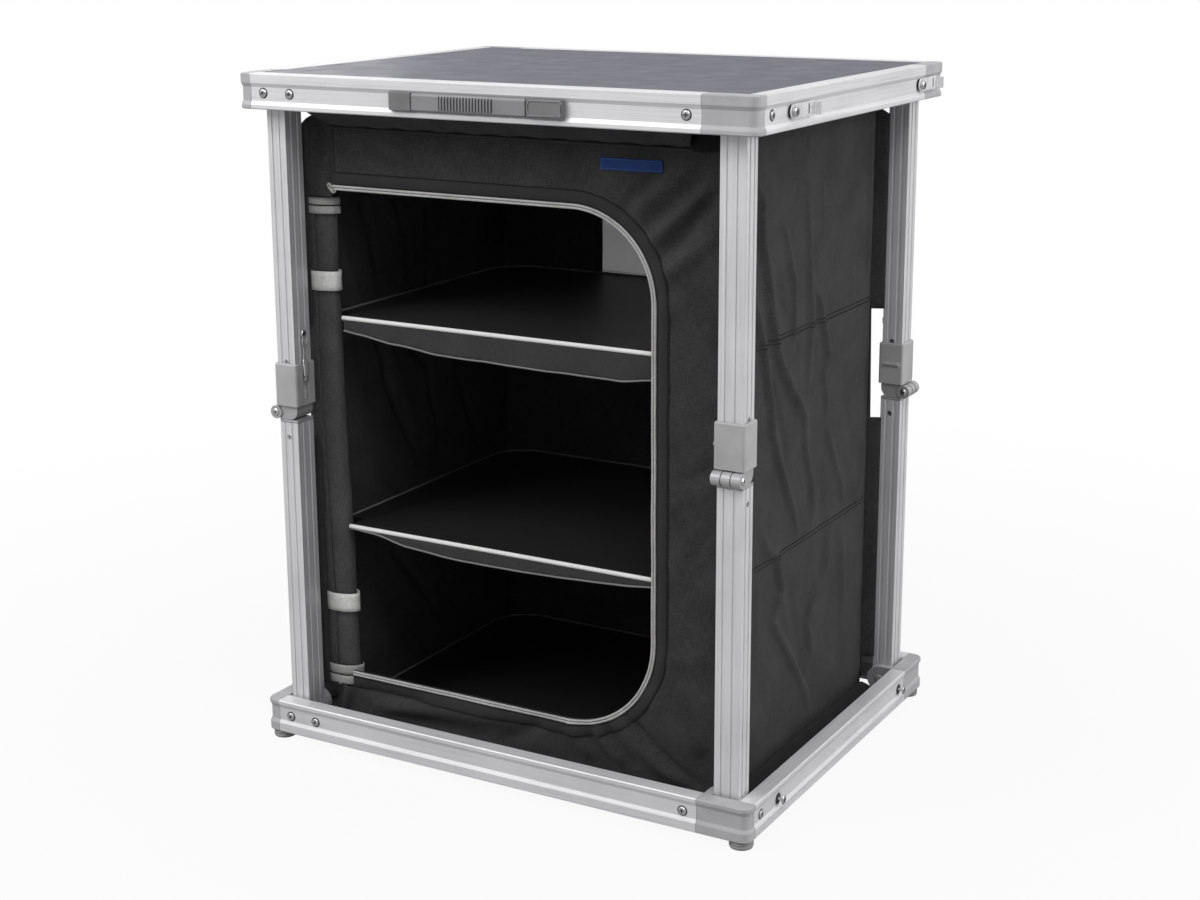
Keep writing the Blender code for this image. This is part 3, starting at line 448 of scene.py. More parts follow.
def clothPattern(outline, holes, pitch):
    # A flat cut of cloth, filled with even triangles.
    loops = [resample(loop, pitch) for loop in (outline, *holes)]
    points = [point for loop in loops for point in loop]
    edges = []
    first = 0
    for loop in loops:
        count = len(loop)
        edges += [(first + step, first + (step + 1) % count) for step in range(count)]
        first += count
    rim = np.array([tuple(point) for point in points])
    low, high = rim.min(axis=0), rim.max(axis=0)
    rowGap = pitch * math.sqrt(3) / 2
    spots = []
    for row in range(int((high[1] - low[1]) / rowGap) + 1):
        start = low[0] + (pitch / 2 if row % 2 else 0)
        columns = int((high[0] - start) / pitch) + 1
        spots += [(start + column * pitch, low[1] + row * rowGap) for column in range(columns)]
    spots = np.array(spots)
    keep = insideMask(loops[0], spots)
    for loop in loops[1:]:
        keep &= ~insideMask(loop, spots)
    spots = spots[keep]
    clear = np.ones(len(spots), bool)
    for point in rim:
        clear &= ((spots - point) ** 2).sum(axis=1) > (0.55 * pitch) ** 2
    points += [Vector(spot) for spot in spots[clear]]
    places, _, triangles, *_ = geometry.delaunay_2d_cdt(points, edges, [], 0, 1e-7)
    middles = [sum((places[i] for i in triangle), Vector((0, 0))) / 3 for triangle in triangles]
    middles = np.array([tuple(middle) for middle in middles])
    keep = insideMask(loops[0], middles)
    for loop in loops[1:]:
        keep &= ~insideMask(loop, middles)
    return [tuple(place) for place in places], [tuple(t) for t, k in zip(triangles, keep) if k]


def clothPiece(name, outline, place, finish, holes=(), pitch=0.005, thickness=None, flip=False):
    spots, triangles = clothPattern(outline, holes, pitch)
    if flip:
        triangles = [triangle[::-1] for triangle in triangles]
    piece = addMesh(name, [place(u, v) for u, v in spots], triangles, finish, spots)
    return thicken(piece, thickness or body["thickness"])


def arc(x, y, radius, start, end, steps):
    angles = [math.radians(start + (end - start) * step / steps) for step in range(steps + 1)]
    return [(x + radius * math.cos(angle), y + radius * math.sin(angle)) for angle in angles]


def foldRise(folds, u, v):
    # Each fold is a line of points with a width and a height. It fades at both ends.
    rise = 0.0
    for line, width, height in folds:
        lengths = [math.dist(a, b) for a, b in zip(line, line[1:])]
        whole = sum(lengths)
        done = 0.0
        nearest, along = 1.0, 0.0
        for (u0, v0), (u1, v1), length in zip(line, line[1:], lengths):
            du, dv = u1 - u0, v1 - v0
            share = min(1.0, max(0.0, ((u - u0) * du + (v - v0) * dv) / length ** 2))
            gap = math.hypot(u - u0 - du * share, v - v0 - dv * share)
            if gap < nearest:
                nearest, along = gap, (done + length * share) / whole
            done += length
        if nearest < width * 3:
            fade = min(1.0, along / 0.25, (1 - along) / 0.25)
            rise += height * math.exp(-(nearest / width) ** 2) * (0.15 + 0.85 * fade * (2 - fade))
    return rise


def ruffle(u, v, size, height, seed=0.0):
    return height * noise.noise(Vector((u / size, v / size, seed)))


def stripAlong(name, path, profile, place, finish, closed=False):
    # Sweep a small section along a line in a flat cut. Profile points are (across, rise), as a closed ring.
    points, uvs, faces = [], [], []
    count = len(path)
    ring = len(profile)
    travelled = 0.0
    for index, (u, v) in enumerate(path):
        before = path[index - 1] if index or closed else path[0]
        after = path[(index + 1) % count] if index < count - 1 or closed else path[-1]
        du, dv = after[0] - before[0], after[1] - before[1]
        length = math.hypot(du, dv) or 1.0
        if index:
            travelled += math.dist(path[index - 1], (u, v))
        for across, rise in profile:
            points.append(place(u + dv / length * across, v - du / length * across, rise))
            uvs.append((across + rise, travelled))
    last = count if closed else count - 1
    for index in range(last):
        for side in range(ring):
            a = index * ring + side
            b = index * ring + (side + 1) % ring
            c = (index + 1) % count * ring + (side + 1) % ring
            d = (index + 1) % count * ring + side
            faces.append((a, b, c, d))
    if not closed:
        faces.append(tuple(range(ring))[::-1])
        faces.append(tuple((count - 1) * ring + side for side in range(ring)))
    piece = addMesh(name, points, faces, finish, uvs)
    cleanNormals(piece)
    return piece


def cleanNormals(piece):
    work = bmesh.new()
    work.from_mesh(piece.data)
    bmesh.ops.recalc_face_normals(work, faces=work.faces)
    work.to_mesh(piece.data)
    work.free()


def evenPath(points, pitch):
    # The same open line with evenly spaced points.
    lengths = [math.dist(a, b) for a, b in zip(points, points[1:])]
    whole = sum(lengths)
    steps = max(2, round(whole / pitch))
    out = []
    index, done = 0, 0.0
    for step in range(steps + 1):
        target = whole * step / steps
        while index < len(lengths) - 1 and done + lengths[index] < target:
            done += lengths[index]
            index += 1
        share = (target - done) / lengths[index]
        a, b = points[index], points[index + 1]
        out.append(tuple(p + (q - p) * share for p, q in zip(a, b)))
    return out


def offsetPath(path, across):
    out = []
    for index, (u, v) in enumerate(path):
        before, after = path[max(0, index - 1)], path[min(len(path) - 1, index + 1)]
        du, dv = after[0] - before[0], after[1] - before[1]
        length = math.hypot(du, dv) or 1.0
        out.append((u + dv / length * across, v - du / length * across))
    return out


def stitches(name, lines, place, finish="thread", pitch=0.0030, length=0.0020, width=0.0012, rise=0.00035):
    # Rows of single stitches, each a small rounded bead of thread that dips into the cloth at its ends.
    points, faces, uvs = [], [], []
    for line in lines:
        path = evenPath(line, pitch)
        for (u0, v0), (u1, v1) in zip(path, path[1:]):
            du, dv = u1 - u0, v1 - v0
            span = math.hypot(du, dv)
            du, dv = du / span, dv / span
            first = len(points)
            for share, half, up in ((0.0, 0.4, -0.5), (0.28, 1.0, 1.0), (0.72, 1.0, 1.0), (1.0, 0.4, -0.5)):
                u, v = u0 + du * length * share, v0 + dv * length * share
                for side, lift in ((-0.5, -0.8), (-0.3, up), (0.3, up), (0.5, -0.8)):
                    a, b = u + dv * width * half * side, v - du * width * half * side
                    points.append(place(a, b, rise * lift))
                    uvs.append((a, b))
            faces += beadFaces(first)
    piece = addMesh(name, points, faces, finish, uvs)
    cleanNormals(piece)
    return piece


def roundProfile(across, rise, radiusAcross, radiusRise, steps=8):
    angles = [2 * math.pi * step / steps for step in range(steps)]
    return [(across + radiusAcross * math.cos(a), rise + radiusRise * math.sin(a)) for a in angles]


def tubeAlong(name, path, radius, finish, sides=8):
    # A sewn-in cord through points in space.
    points, faces, uvs = [], [], []
    travelled = 0.0
    for index, spot in enumerate(path):
        before, after = path[max(0, index - 1)], path[min(len(path) - 1, index + 1)]
        ahead = (after - before).normalized()
        side = ahead.cross(Vector((0, 0, 1)))
        side = side.normalized() if side.length > 0.001 else Vector((1, 0, 0))
        up = side.cross(ahead)
        if index:
            travelled += (spot - path[index - 1]).length
        for step in range(sides):
            angle = 2 * math.pi * step / sides
            points.append(spot + side * radius * math.cos(angle) + up * radius * math.sin(angle))
            uvs.append((step * radius, travelled))
    for index in range(len(path) - 1):
        for step in range(sides):
            a, b = index * sides + step, index * sides + (step + 1) % sides
            faces.append((a, b, b + sides, a + sides))
    faces.append(tuple(range(sides)))
    faces.append(tuple(range((len(path) - 1) * sides, len(path) * sides))[::-1])
    piece = addMesh(name, points, faces, finish, uvs)
    cleanNormals(piece)
    return piece


def fabricBody(piece):
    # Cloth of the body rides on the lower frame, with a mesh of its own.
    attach(piece, "base_frame")
    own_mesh(piece)


# How much deeper the folds are than their tables say.
foldLift = {"front": 2.7, "wall": 2.1, "frontBase": 0.0026}

# Front panel with its door opening

frontFolds = {
    # From the opening's upper curve to the upper right corner.
    "upper": [
        (((0.126, 0.610), (0.150, 0.632), (0.182, 0.662)), 0.007, -0.0016),
        (((0.140, 0.606), (0.172, 0.634), (0.215, 0.668)), 0.008, 0.0018),
        (((0.152, 0.592), (0.182, 0.618), (0.222, 0.650)), 0.007, -0.0020),
        (((0.160, 0.582), (0.190, 0.606), (0.232, 0.648)), 0.007, 0.0018),
        (((0.170, 0.566), (0.196, 0.592), (0.234, 0.634)), 0.008, -0.0034),
        (((0.176, 0.552), (0.205, 0.572), (0.238, 0.600)), 0.009, 0.0020),
        (((0.180, 0.545), (0.205, 0.536), (0.236, 0.519)), 0.009, -0.0016),
        (((0.182, 0.530), (0.208, 0.508), (0.236, 0.486)), 0.011, 0.0015),
        (((0.182, 0.512), (0.200, 0.490), (0.226, 0.456)), 0.010, -0.0012),
    ],
    # Small slack dimples down the right-hand strip.
    "strip": [
        (((0.184, 0.442), (0.205, 0.420), (0.232, 0.394)), 0.010, -0.0012),
        (((0.186, 0.408), (0.208, 0.380), (0.232, 0.352)), 0.010, 0.0010),
        (((0.190, 0.342), (0.212, 0.352), (0.236, 0.366)), 0.009, -0.0014),
        (((0.188, 0.312), (0.206, 0.296), (0.230, 0.284)), 0.009, -0.0010),
        (((0.184, 0.250), (0.204, 0.282), (0.222, 0.304)), 0.010, 0.0010),
        (((0.184, 0.214), (0.204, 0.236), (0.232, 0.262)), 0.010, -0.0010),
        (((0.176, 0.152), (0.196, 0.158), (0.226, 0.160)), 0.010, 0.0012),
    ],
    # From the lower curve to the lower right corner, with one sharp crease.
    "lower": [
        (((0.160, 0.118), (0.186, 0.098), (0.226, 0.060)), 0.012, 0.0034),
        (((0.138, 0.082), (0.163, 0.060), (0.189, 0.041), (0.226, 0.018)), 0.0042, -0.0052),
        (((0.128, 0.076), (0.150, 0.056), (0.176, 0.036), (0.208, 0.018)), 0.010, 0.0030),
        (((0.108, 0.068), (0.126, 0.048), (0.150, 0.028)), 0.006, -0.0020),
        (((0.096, 0.062), (0.112, 0.044), (0.130, 0.028)), 0.006, 0.0018),
        (((0.082, 0.062), (0.098, 0.046), (0.122, 0.022)), 0.006, -0.0018),
        (((0.060, 0.062), (0.074, 0.046), (0.092, 0.026)), 0.007, 0.0014),
        (((-0.020, 0.022), (0.004, 0.036), (0.034, 0.056)), 0.008, -0.0018),
        (((-0.190, 0.030), (-0.120, 0.040), (-0.050, 0.046), (-0.010, 0.050)), 0.010, 0.0022),
        (((-0.200, 0.050), (-0.160, 0.047), (-0.110, 0.052)), 0.006, -0.0014),
        (((-0.170, 0.020), (-0.100, 0.024), (-0.030, 0.022)), 0.007, -0.0012),
        (((-0.236, 0.050), (-0.240, 0.034), (-0.246, 0.014)), 0.006, -0.0022),
        (((-0.222, 0.050), (-0.226, 0.034), (-0.230, 0.014)), 0.005, 0.0018),
    ],
    # Faint pulls across the head of the panel.
    "head": [
        (((-0.180, 0.662), (-0.140, 0.644), (-0.104, 0.628)), 0.006, -0.0010),
        (((-0.196, 0.648), (-0.168, 0.632), (-0.146, 0.620)), 0.006, -0.0007),
        (((0.020, 0.654), (0.040, 0.643), (0.060, 0.632)), 0.006, -0.0008),
        (((-0.224, 0.672), (-0.221, 0.640), (-0.221, 0.612)), 0.004, -0.0012),
        (((-0.244, 0.680), (-0.246, 0.650), (-0.245, 0.612)), 0.009, 0.0022),
        (((-0.232, 0.686), (-0.234, 0.668), (-0.232, 0.640)), 0.004, -0.0016),
    ],
}


# Heights where a board or skirt stands close behind the panel.
stiffBands = ((0.0074, 0.0178), (0.216, 0.240), (0.4375, 0.475))


def frontRise(x, z):
    rise = foldLift["front"] * sum(foldRise(lines, x, z) for lines in frontFolds.values())
    rise += ruffle(x, z, 0.055, 0.0007) + ruffle(x, z, 0.016, 0.00025, 3.0)
    edge = min(1.0, max(0.0, (z - 0.010) / 0.02))
    room = min(max(low - z, z - high) for low, high in stiffBands)
    return foldLift["frontBase"] + heldBack(rise * edge, 0.0034 + min(0.0045, 0.3 * max(0.0, room)))


def heldBack(rise, most):
    # A hollow never goes deeper than most, because something stiff lies behind the cloth.
    return rise if rise > 0 else -most * (1 - math.exp(rise / most))


def onFront(x, z, rise=0.0):
    return at(x, -body["halfDepth"] - frontRise(x, z) - rise, z)


def doorPath(pitch=0.0025):
    # The opening's edge, from the roll's top round to its foot.
    path = [(door["left"], door["high"])]
    upper, lower = door["upperRadius"], door["lowerRadius"]
    path += arc(door["right"] - upper, door["high"] - upper, upper, 90, 0, 24)
    path += arc(door["right"] - lower, door["low"] + lower, lower, 0, -90, 24)
    path.append((door["footLeft"], door["low"]))
    return evenPath(path, pitch)


panelCut = {"right": 0.2412, "rollSide": -0.2552, "rollTop": 0.6010, "rollNotch": -0.2225,
            "footSide": -0.2505, "footTop": 0.0475, "notchSlope": 0.020}


def makeFrontPanel():
    reach = body["halfWidth"] + body["flapReach"]
    rollSide, footSide = panelCut["rollSide"], panelCut["footSide"]
    right, footTop = panelCut["right"], panelCut["footTop"]
    outline = [(-body["halfWidth"], body["low"]), (right, body["low"]), (right, body["high"])]
    outline += [(-0.2320, body["high"]), (-0.2345, 0.6915), (-0.2401, 0.6889), (-0.2480, 0.6858),
                (-0.2539, 0.6827), (-0.2590, 0.6783), (-0.2637, 0.6723), (-reach, 0.6600)]
    outline += [(-reach, body["notchHigh"]), (rollSide, body["notchHigh"]),
                (rollSide, panelCut["rollTop"]), (panelCut["rollNotch"], panelCut["rollTop"])]
    outline += doorPath(0.005)
    outline += [(door["footLeft"], footTop), (footSide, footTop),
                (footSide, body["notchLow"] - panelCut["notchSlope"]),
                (rollSide, body["notchLow"]), (-reach, body["notchLow"])]
    outline += [(-reach, body["flapLow"]), (-body["halfWidth"], body["flapLow"])]
    panel = clothPiece("frontPanel", outline, onFront, "cloth", pitch=0.004)
    fabricBody(panel)
    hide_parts("front_panel")


makeFrontPanel()

doorTrim = {"coil": 0.0026, "gap": 0.0003, "binding": 0.0125, "stitchNear": 0.0068, "stitchFar": 0.0190,
            "stitchPitch": 0.0036, "looseEnd": (-0.2220, 0.6135)}


def makeDoorTrim():
    path = doorPath()
    back = path[::-1]  # so that across runs away from the opening
    first = doorTrim["coil"] / 2
    second = first + doorTrim["coil"] + doorTrim["gap"]
    for name, across in (("zipCoilInner", first), ("zipCoilOuter", second)):
        section = roundProfile(across, 0.0009, doorTrim["coil"] / 2, 0.0013)
        fabricBody(stripAlong(name, back, section, onFront, "zip"))
    start = second + doorTrim["coil"] / 2
    end = start + doorTrim["binding"]
    section = [(start, -0.0004), (start, 0.0006), (start + 0.0008, 0.0013), (end - 0.0010, 0.0013),
               (end, 0.0006), (end, -0.0004)]
    fabricBody(stripAlong("doorBinding", back, section, onFront, "smoothCloth"))
    tape = [(-0.0004, -0.0016), (-0.0004, -0.0011), (start, -0.0011), (start, -0.0016)]
    fabricBody(stripAlong("zipTape", back, tape, onFront, "smoothCloth"))
    rows = [offsetPath(back, doorTrim["stitchNear"]), offsetPath(back, doorTrim["stitchFar"])]
    fabricBody(stitches("doorStitching", rows[:1], raised(onFront, 0.0014),
                        pitch=doorTrim["stitchPitch"], length=0.0024, width=0.0015))
    fabricBody(stitches("doorEdgeStitching", rows[1:], raised(onFront, 0.0002),
                        pitch=doorTrim["stitchPitch"], length=0.0026, width=0.0017, rise=0.0004))
    # A narrow dark strip of painted seam shadow under each row of stitches.
    seamShadow = [(-0.0005, -0.0003), (-0.0005, 0.0001), (0.0005, 0.0001), (0.0005, -0.0003)]
    for name, row, rise in (("doorSeamShadowNear", rows[0], 0.0013), ("doorSeamShadowFar", rows[1], 0.0)):
        section = [(across, rise + up) for across, up in seamShadow]
        fabricBody(stripAlong(name, row, section, onFront, "thread"))
    # The coil's loose end, sewn down beside the roll.
    spot = onFront(*doorTrim["looseEnd"], 0.002)
    path = []
    for step in range(30):
        angle = step * 0.9
        swing = 0.0030 * (1 - 0.4 * step / 30)
        drift = Vector((0.0030 * math.cos(angle), 0.0, swing * math.sin(angle)))
        path.append(spot + drift + Vector((0.0002 * step - 0.003, -0.0006 * math.sin(step), -0.0002 * step)))
    fabricBody(tubeAlong("zipEnd", path, 0.0008, "zip", 6))


makeDoorTrim()

bandSize = {
    "fold": 0.6765,
    "top": 0.700,
    "topY": -0.2215,
    "left": -0.2165,
    "right": 0.204,
    "shadowPatch": [(0.2040, 0.6740), (0.2180, 0.6722), (0.2405, 0.6745), (0.2405, 0.6960), (0.2180, 0.6930),
               (0.2060, 0.6860)],
}


def makeTopBand():
    # The panel's head folds forward to the rail. It is gathered at both ends.
    folds = [(((x, 0.0), (x + lean, 1.0)), 0.010, height) for x, lean, height in (
        (-0.190, 0.022, -0.0012), (-0.140, 0.018, 0.0010), (-0.110, 0.020, -0.0014),
        (-0.040, 0.016, -0.0010), (0.010, 0.022, 0.0012), (0.040, 0.018, -0.0014),
        (0.095, 0.022, -0.0012), (0.130, 0.016, 0.0010), (0.165, 0.014, -0.0012))]

    def onBand(x, z):
        share = (z - bandSize["fold"]) / (bandSize["top"] - bandSize["fold"])
        wave = foldRise(folds, x, share * 0.06) * math.sin(math.pi * min(1.0, share + 0.15))
        gather = math.exp(-((x - bandSize["right"]) / 0.010) ** 2) * 0.002 * math.sin(x * 1500)
        gather += math.exp(-((x - bandSize["left"]) / 0.008) ** 2) * 0.0016 * math.sin(x * 1400)
        y = -body["halfDepth"] - 0.0016 + (bandSize["topY"] + body["halfDepth"] + 0.0016) * share
        bulge = 0.0018 * math.sin(math.pi * share)
        return at(x, y - bulge + wave + gather * (1 - share), z - bulge - 0.0006 * math.cos(x * 160))

    left, right = bandSize["left"], bandSize["right"]
    low, top = bandSize["fold"], bandSize["top"]
    outline = [(left, low), (right, low), (right + 0.020, top), (left - 0.018, top)]
    band = clothPiece("headBand", outline, onBand, "cloth", pitch=0.003)
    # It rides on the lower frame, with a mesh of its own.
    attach(band, "base_frame")
    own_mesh(band)
    roll = [(0, 0), (0.0006, 0.0012), (0.0016, 0.0016), (0.0026, 0.0010), (0.0030, 0), (0.0016, -0.0006)]
    path = evenPath([(left - 0.004, low + 0.0004), (right + 0.002, low - 0.0002)], 0.004)
    fabricBody(stripAlong("headFold", path, roll, raised(onFront, 0.0004), "cloth"))
    # A thin dark strip of painted shadow under the fold.
    foldShadow = [(-0.0016, 0.0001), (-0.0016, 0.0004), (0.0004, 0.0008), (0.0004, 0.0001)]
    fabricBody(stripAlong("headFoldShadow", path, foldShadow, onFront, "foldShade"))
    low -= 0.0030
    row = [[(left + 0.004, low), (right - 0.006, low)]]
    fabricBody(stitches("headStitching", row, raised(onFront, 0.0002), pitch=0.0042, length=0.0028))
    # A dark patch of painted shadow where the band gathers into the right corner.
    fabricBody(clothPiece("headShadowPatch", bandSize["shadowPatch"], raised(onFront, 0.0011), "foldShade",
                          pitch=0.003))


makeTopBand()

patchSize = {"left": 0.106, "right": 0.174, "low": 0.6500, "high": 0.6625, "seam": 0.0014}


def makePatch():
    # A plain woven patch, sewn down round its edge.
    left, right, low, high, seam = patchSize.values()
    outline = [(left, low), (right, low), (right, high), (left, high)]
    fabricBody(clothPiece("plainPatch", outline, raised(onFront, 0.0009), "patch", pitch=0.003))
    row = [(left + seam, low + seam), (right - seam, low + seam), (right - seam, high - seam),
           (left + seam, high - seam), (left + seam, low + seam)]
    fabricBody(stitches("patchStitching", [row], raised(onFront, 0.0012), "patchThread",
                        0.0022, 0.0014, 0.0006, 0.0002))


makePatch()


frontSeams = {"welt": -0.2205, "besideWelt": (-0.2222, -0.2188), "right": 0.2385}


def makeFrontSeams():
    welted, right = frontSeams["welt"], frontSeams["right"]
    lines = [[(x, 0.6765), (x, 0.6145)] for x in frontSeams["besideWelt"]]
    lines.append([(right, 0.030), (right, 0.690)])
    fabricBody(stitches("frontStitching", lines, raised(onFront, 0.0002), width=0.0013))
    welt = [(-0.0012, -0.0004), (-0.0010, 0.0007), (0, 0.0010), (0.0010, 0.0007), (0.0012, -0.0004)]
    path = evenPath([(welted, 0.6760), (welted, 0.6120)], 0.003)
    fabricBody(stripAlong("sideWelt", path, welt, onFront, "cloth"))


makeFrontSeams()
print("Front panel made")

# Side and rear walls. The right wall's folds are as the photograph shows them, the left wall's are mirrored.

wallFolds = [
    (((-0.176, 0.690), (-0.150, 0.655), (-0.112, 0.622), (-0.107, 0.581), (-0.091, 0.537), (-0.081, 0.489),
      (-0.075, 0.472), (-0.060, 0.445), (-0.029, 0.412), (0.008, 0.378), (0.022, 0.350)), 0.0065, 0.0036),
    (((-0.140, 0.560), (-0.112, 0.490), (-0.099, 0.458), (-0.082, 0.417), (-0.071, 0.370), (-0.053, 0.334),
      (-0.023, 0.284), (-0.005, 0.250)), 0.0060, 0.0032),
    (((-0.050, 0.590), (-0.040, 0.561), (-0.024, 0.525), (-0.023, 0.460)), 0.0060, 0.0018),
    (((0.008, 0.610), (0.014, 0.562), (0.019, 0.479), (0.016, 0.440), (0.020, 0.400)), 0.0060, 0.0020),
    (((0.030, 0.520), (0.049, 0.469), (0.067, 0.430), (0.056, 0.410), (0.071, 0.360)), 0.0055, 0.0024),
    (((0.046, 0.620), (0.050, 0.590), (0.052, 0.560)), 0.0050, 0.0010),
    (((-0.066, 0.550), (-0.062, 0.518), (-0.049, 0.496), (-0.034, 0.466)), 0.0070, -0.0022),
    (((0.024, 0.560), (0.028, 0.538), (0.037, 0.500)), 0.0060, -0.0014),
    (((-0.085, 0.440), (-0.062, 0.400), (-0.040, 0.352), (-0.020, 0.300)), 0.0060, -0.0022),
    (((-0.100, 0.280), (-0.082, 0.250), (-0.061, 0.238), (-0.045, 0.199), (-0.069, 0.170), (-0.041, 0.139),
      (0.008, 0.080), (0.036, 0.036)), 0.0065, 0.0026),
    (((0.006, 0.372), (0.015, 0.333), (0.029, 0.299), (0.030, 0.250)), 0.0050, 0.0024),
    (((0.070, 0.350), (0.087, 0.315), (0.108, 0.276), (0.118, 0.250)), 0.0060, 0.0018),
    (((0.082, 0.220), (0.074, 0.190), (0.036, 0.157), (0.025, 0.136), (0.046, 0.086)), 0.0065, 0.0024),
    (((0.178, 0.320), (0.174, 0.271), (0.157, 0.245)), 0.0060, 0.0014),
    (((-0.030, 0.210), (-0.012, 0.160), (0.004, 0.120), (0.020, 0.070)), 0.0080, -0.0020),
    (((0.060, 0.300), (0.056, 0.250), (0.062, 0.200), (0.052, 0.140)), 0.0080, -0.0014),
    (((-0.140, 0.420), (-0.128, 0.340), (-0.126, 0.260)), 0.0080, -0.0016),
    (((-0.150, 0.240), (-0.140, 0.180), (-0.136, 0.110)), 0.0080, 0.0016),
    (((-0.120, 0.230), (-0.110, 0.180), (-0.112, 0.120)), 0.0070, -0.0014),
    (((0.110, 0.230), (0.120, 0.180), (0.130, 0.110)), 0.0090, 0.0014),
    (((0.176, 0.700), (0.177, 0.600), (0.174, 0.500)), 0.0050, 0.0022),
]
seamHeights = (0.472, 0.238)
seamWidth = 0.0012
wallBow = 0.0045
sideFlapTurn = (0.0070, 0.0131)  # how far a side wall's flap goes out and along, and the rear wall's
rearFlapTurn = (0.0144, 0.0062)


def seamDip(z):
    return sum(0.0007 * math.exp(-((z - seam) / seamWidth) ** 2) for seam in seamHeights)


def wallRise(y, z, seed=0.0):
    rise = foldLift["wall"] * foldRise(wallFolds, y, z)
    rise += ruffle(y, z, 0.050, 0.0010, seed) + ruffle(y, z * 0.35, 0.012, 0.0005, seed + 5)
    rise *= min(1.0, max(0.0, (body["halfDepth"] - abs(y)) / 0.014))
    rise *= min(1.0, max(0.0, (z - 0.012) / 0.02), max(0.0, (0.712 - z) / 0.02))
    # The shelves' boards hold the cloth out at the two seams and it bows in between them.
    bays = (0.012, *seamHeights[::-1], 0.712)
    for low, high in zip(bays, bays[1:]):
        if low < z < high:
            share = (z - low) / (high - low)
            rise -= wallBow * 0.6 * math.sin(math.pi * share) * (1 - (y / body["halfDepth"]) ** 2)
    room = min(abs(z - seam) for seam in seamHeights)
    return heldBack(rise, 0.0012 + min(0.0050, max(0.0, room - 0.012) * 0.25)) - seamDip(z)


def pastCorner(place, half):
    # How far a point of a flap lies beyond its wall's edge, as a share of the flap.
    return max(0.0, (place - half) / body["wallFlap"])


def onRight(y, z, rise=0.0):
    # At the corners the cloth turns out to meet the leg.
    flap = pastCorner(-y, body["halfDepth"])
    if flap:
        out, along = sideFlapTurn
        return at(body["halfWidth"] + out * flap + rise, -body["halfDepth"] - along * flap, z)
    return at(body["halfWidth"] + wallRise(y, z) + rise, y, z)


def onLeft(y, z, rise=0.0):
    flap = pastCorner(y, body["halfDepth"])
    if flap:
        out, along = sideFlapTurn
        return at(-body["halfWidth"] - out * flap - rise, body["halfDepth"] + along * flap, z)
    return at(-body["halfWidth"] - wallRise(y, z, 9.0) - rise, y, z)


def rearRise(x, z):
    rise = ruffle(x, z, 0.070, 0.0018, 21.0) + ruffle(x, z * 0.4, 0.016, 0.0007, 25.0)
    rise *= min(1.0, max(0.0, (body["halfWidth"] - abs(x)) / 0.012))
    return heldBack(rise, 0.0006) - seamDip(z)


def onRear(x, z, rise=0.0):
    flap = pastCorner(x, body["halfWidth"])
    if flap:
        along, out = rearFlapTurn
        return at(body["halfWidth"] + along * flap, body["halfDepth"] + out * flap + rise, z)
    return at(x, body["halfDepth"] + rearRise(x, z) + rise, z)


window = {"left": -0.109, "right": 0.205, "low": 0.4640, "high": 0.668, "radius": 0.005, "seam": 0.006}
rollRoom = {"edge": 0.1585, "low": 0.054}  # the left wall is cut away behind the rolled door


def roundedLoop(left, right, low, high, radius, steps=6):
    loop = arc(right - radius, low + radius, radius, -90, 0, steps)
    loop += arc(right - radius, high - radius, radius, 0, 90, steps)
    loop += arc(left + radius, high - radius, radius, 90, 180, steps)
    loop += arc(left + radius, low + radius, radius, 180, 270, steps)
    return loop


def flapEdge(edge, lowShift=0.0, highShift=0.0):
    # A wall's upright edge with the flap behind one leg, cut out round the knee, from below upward.
    out = edge + body["wallFlap"]
    flapLow, flapHigh = body["flapLow"], body["flapHigh"]
    notchLow, notchHigh = body["notchLow"], body["notchHigh"]
    return [(edge, body["low"]), (edge, flapLow), (out, flapLow), (out, notchLow),
            (edge + lowShift, notchLow), (edge + highShift, notchHigh), (out, notchHigh),
            (out, flapHigh - 0.010), (edge, flapHigh), (edge, body["high"])]


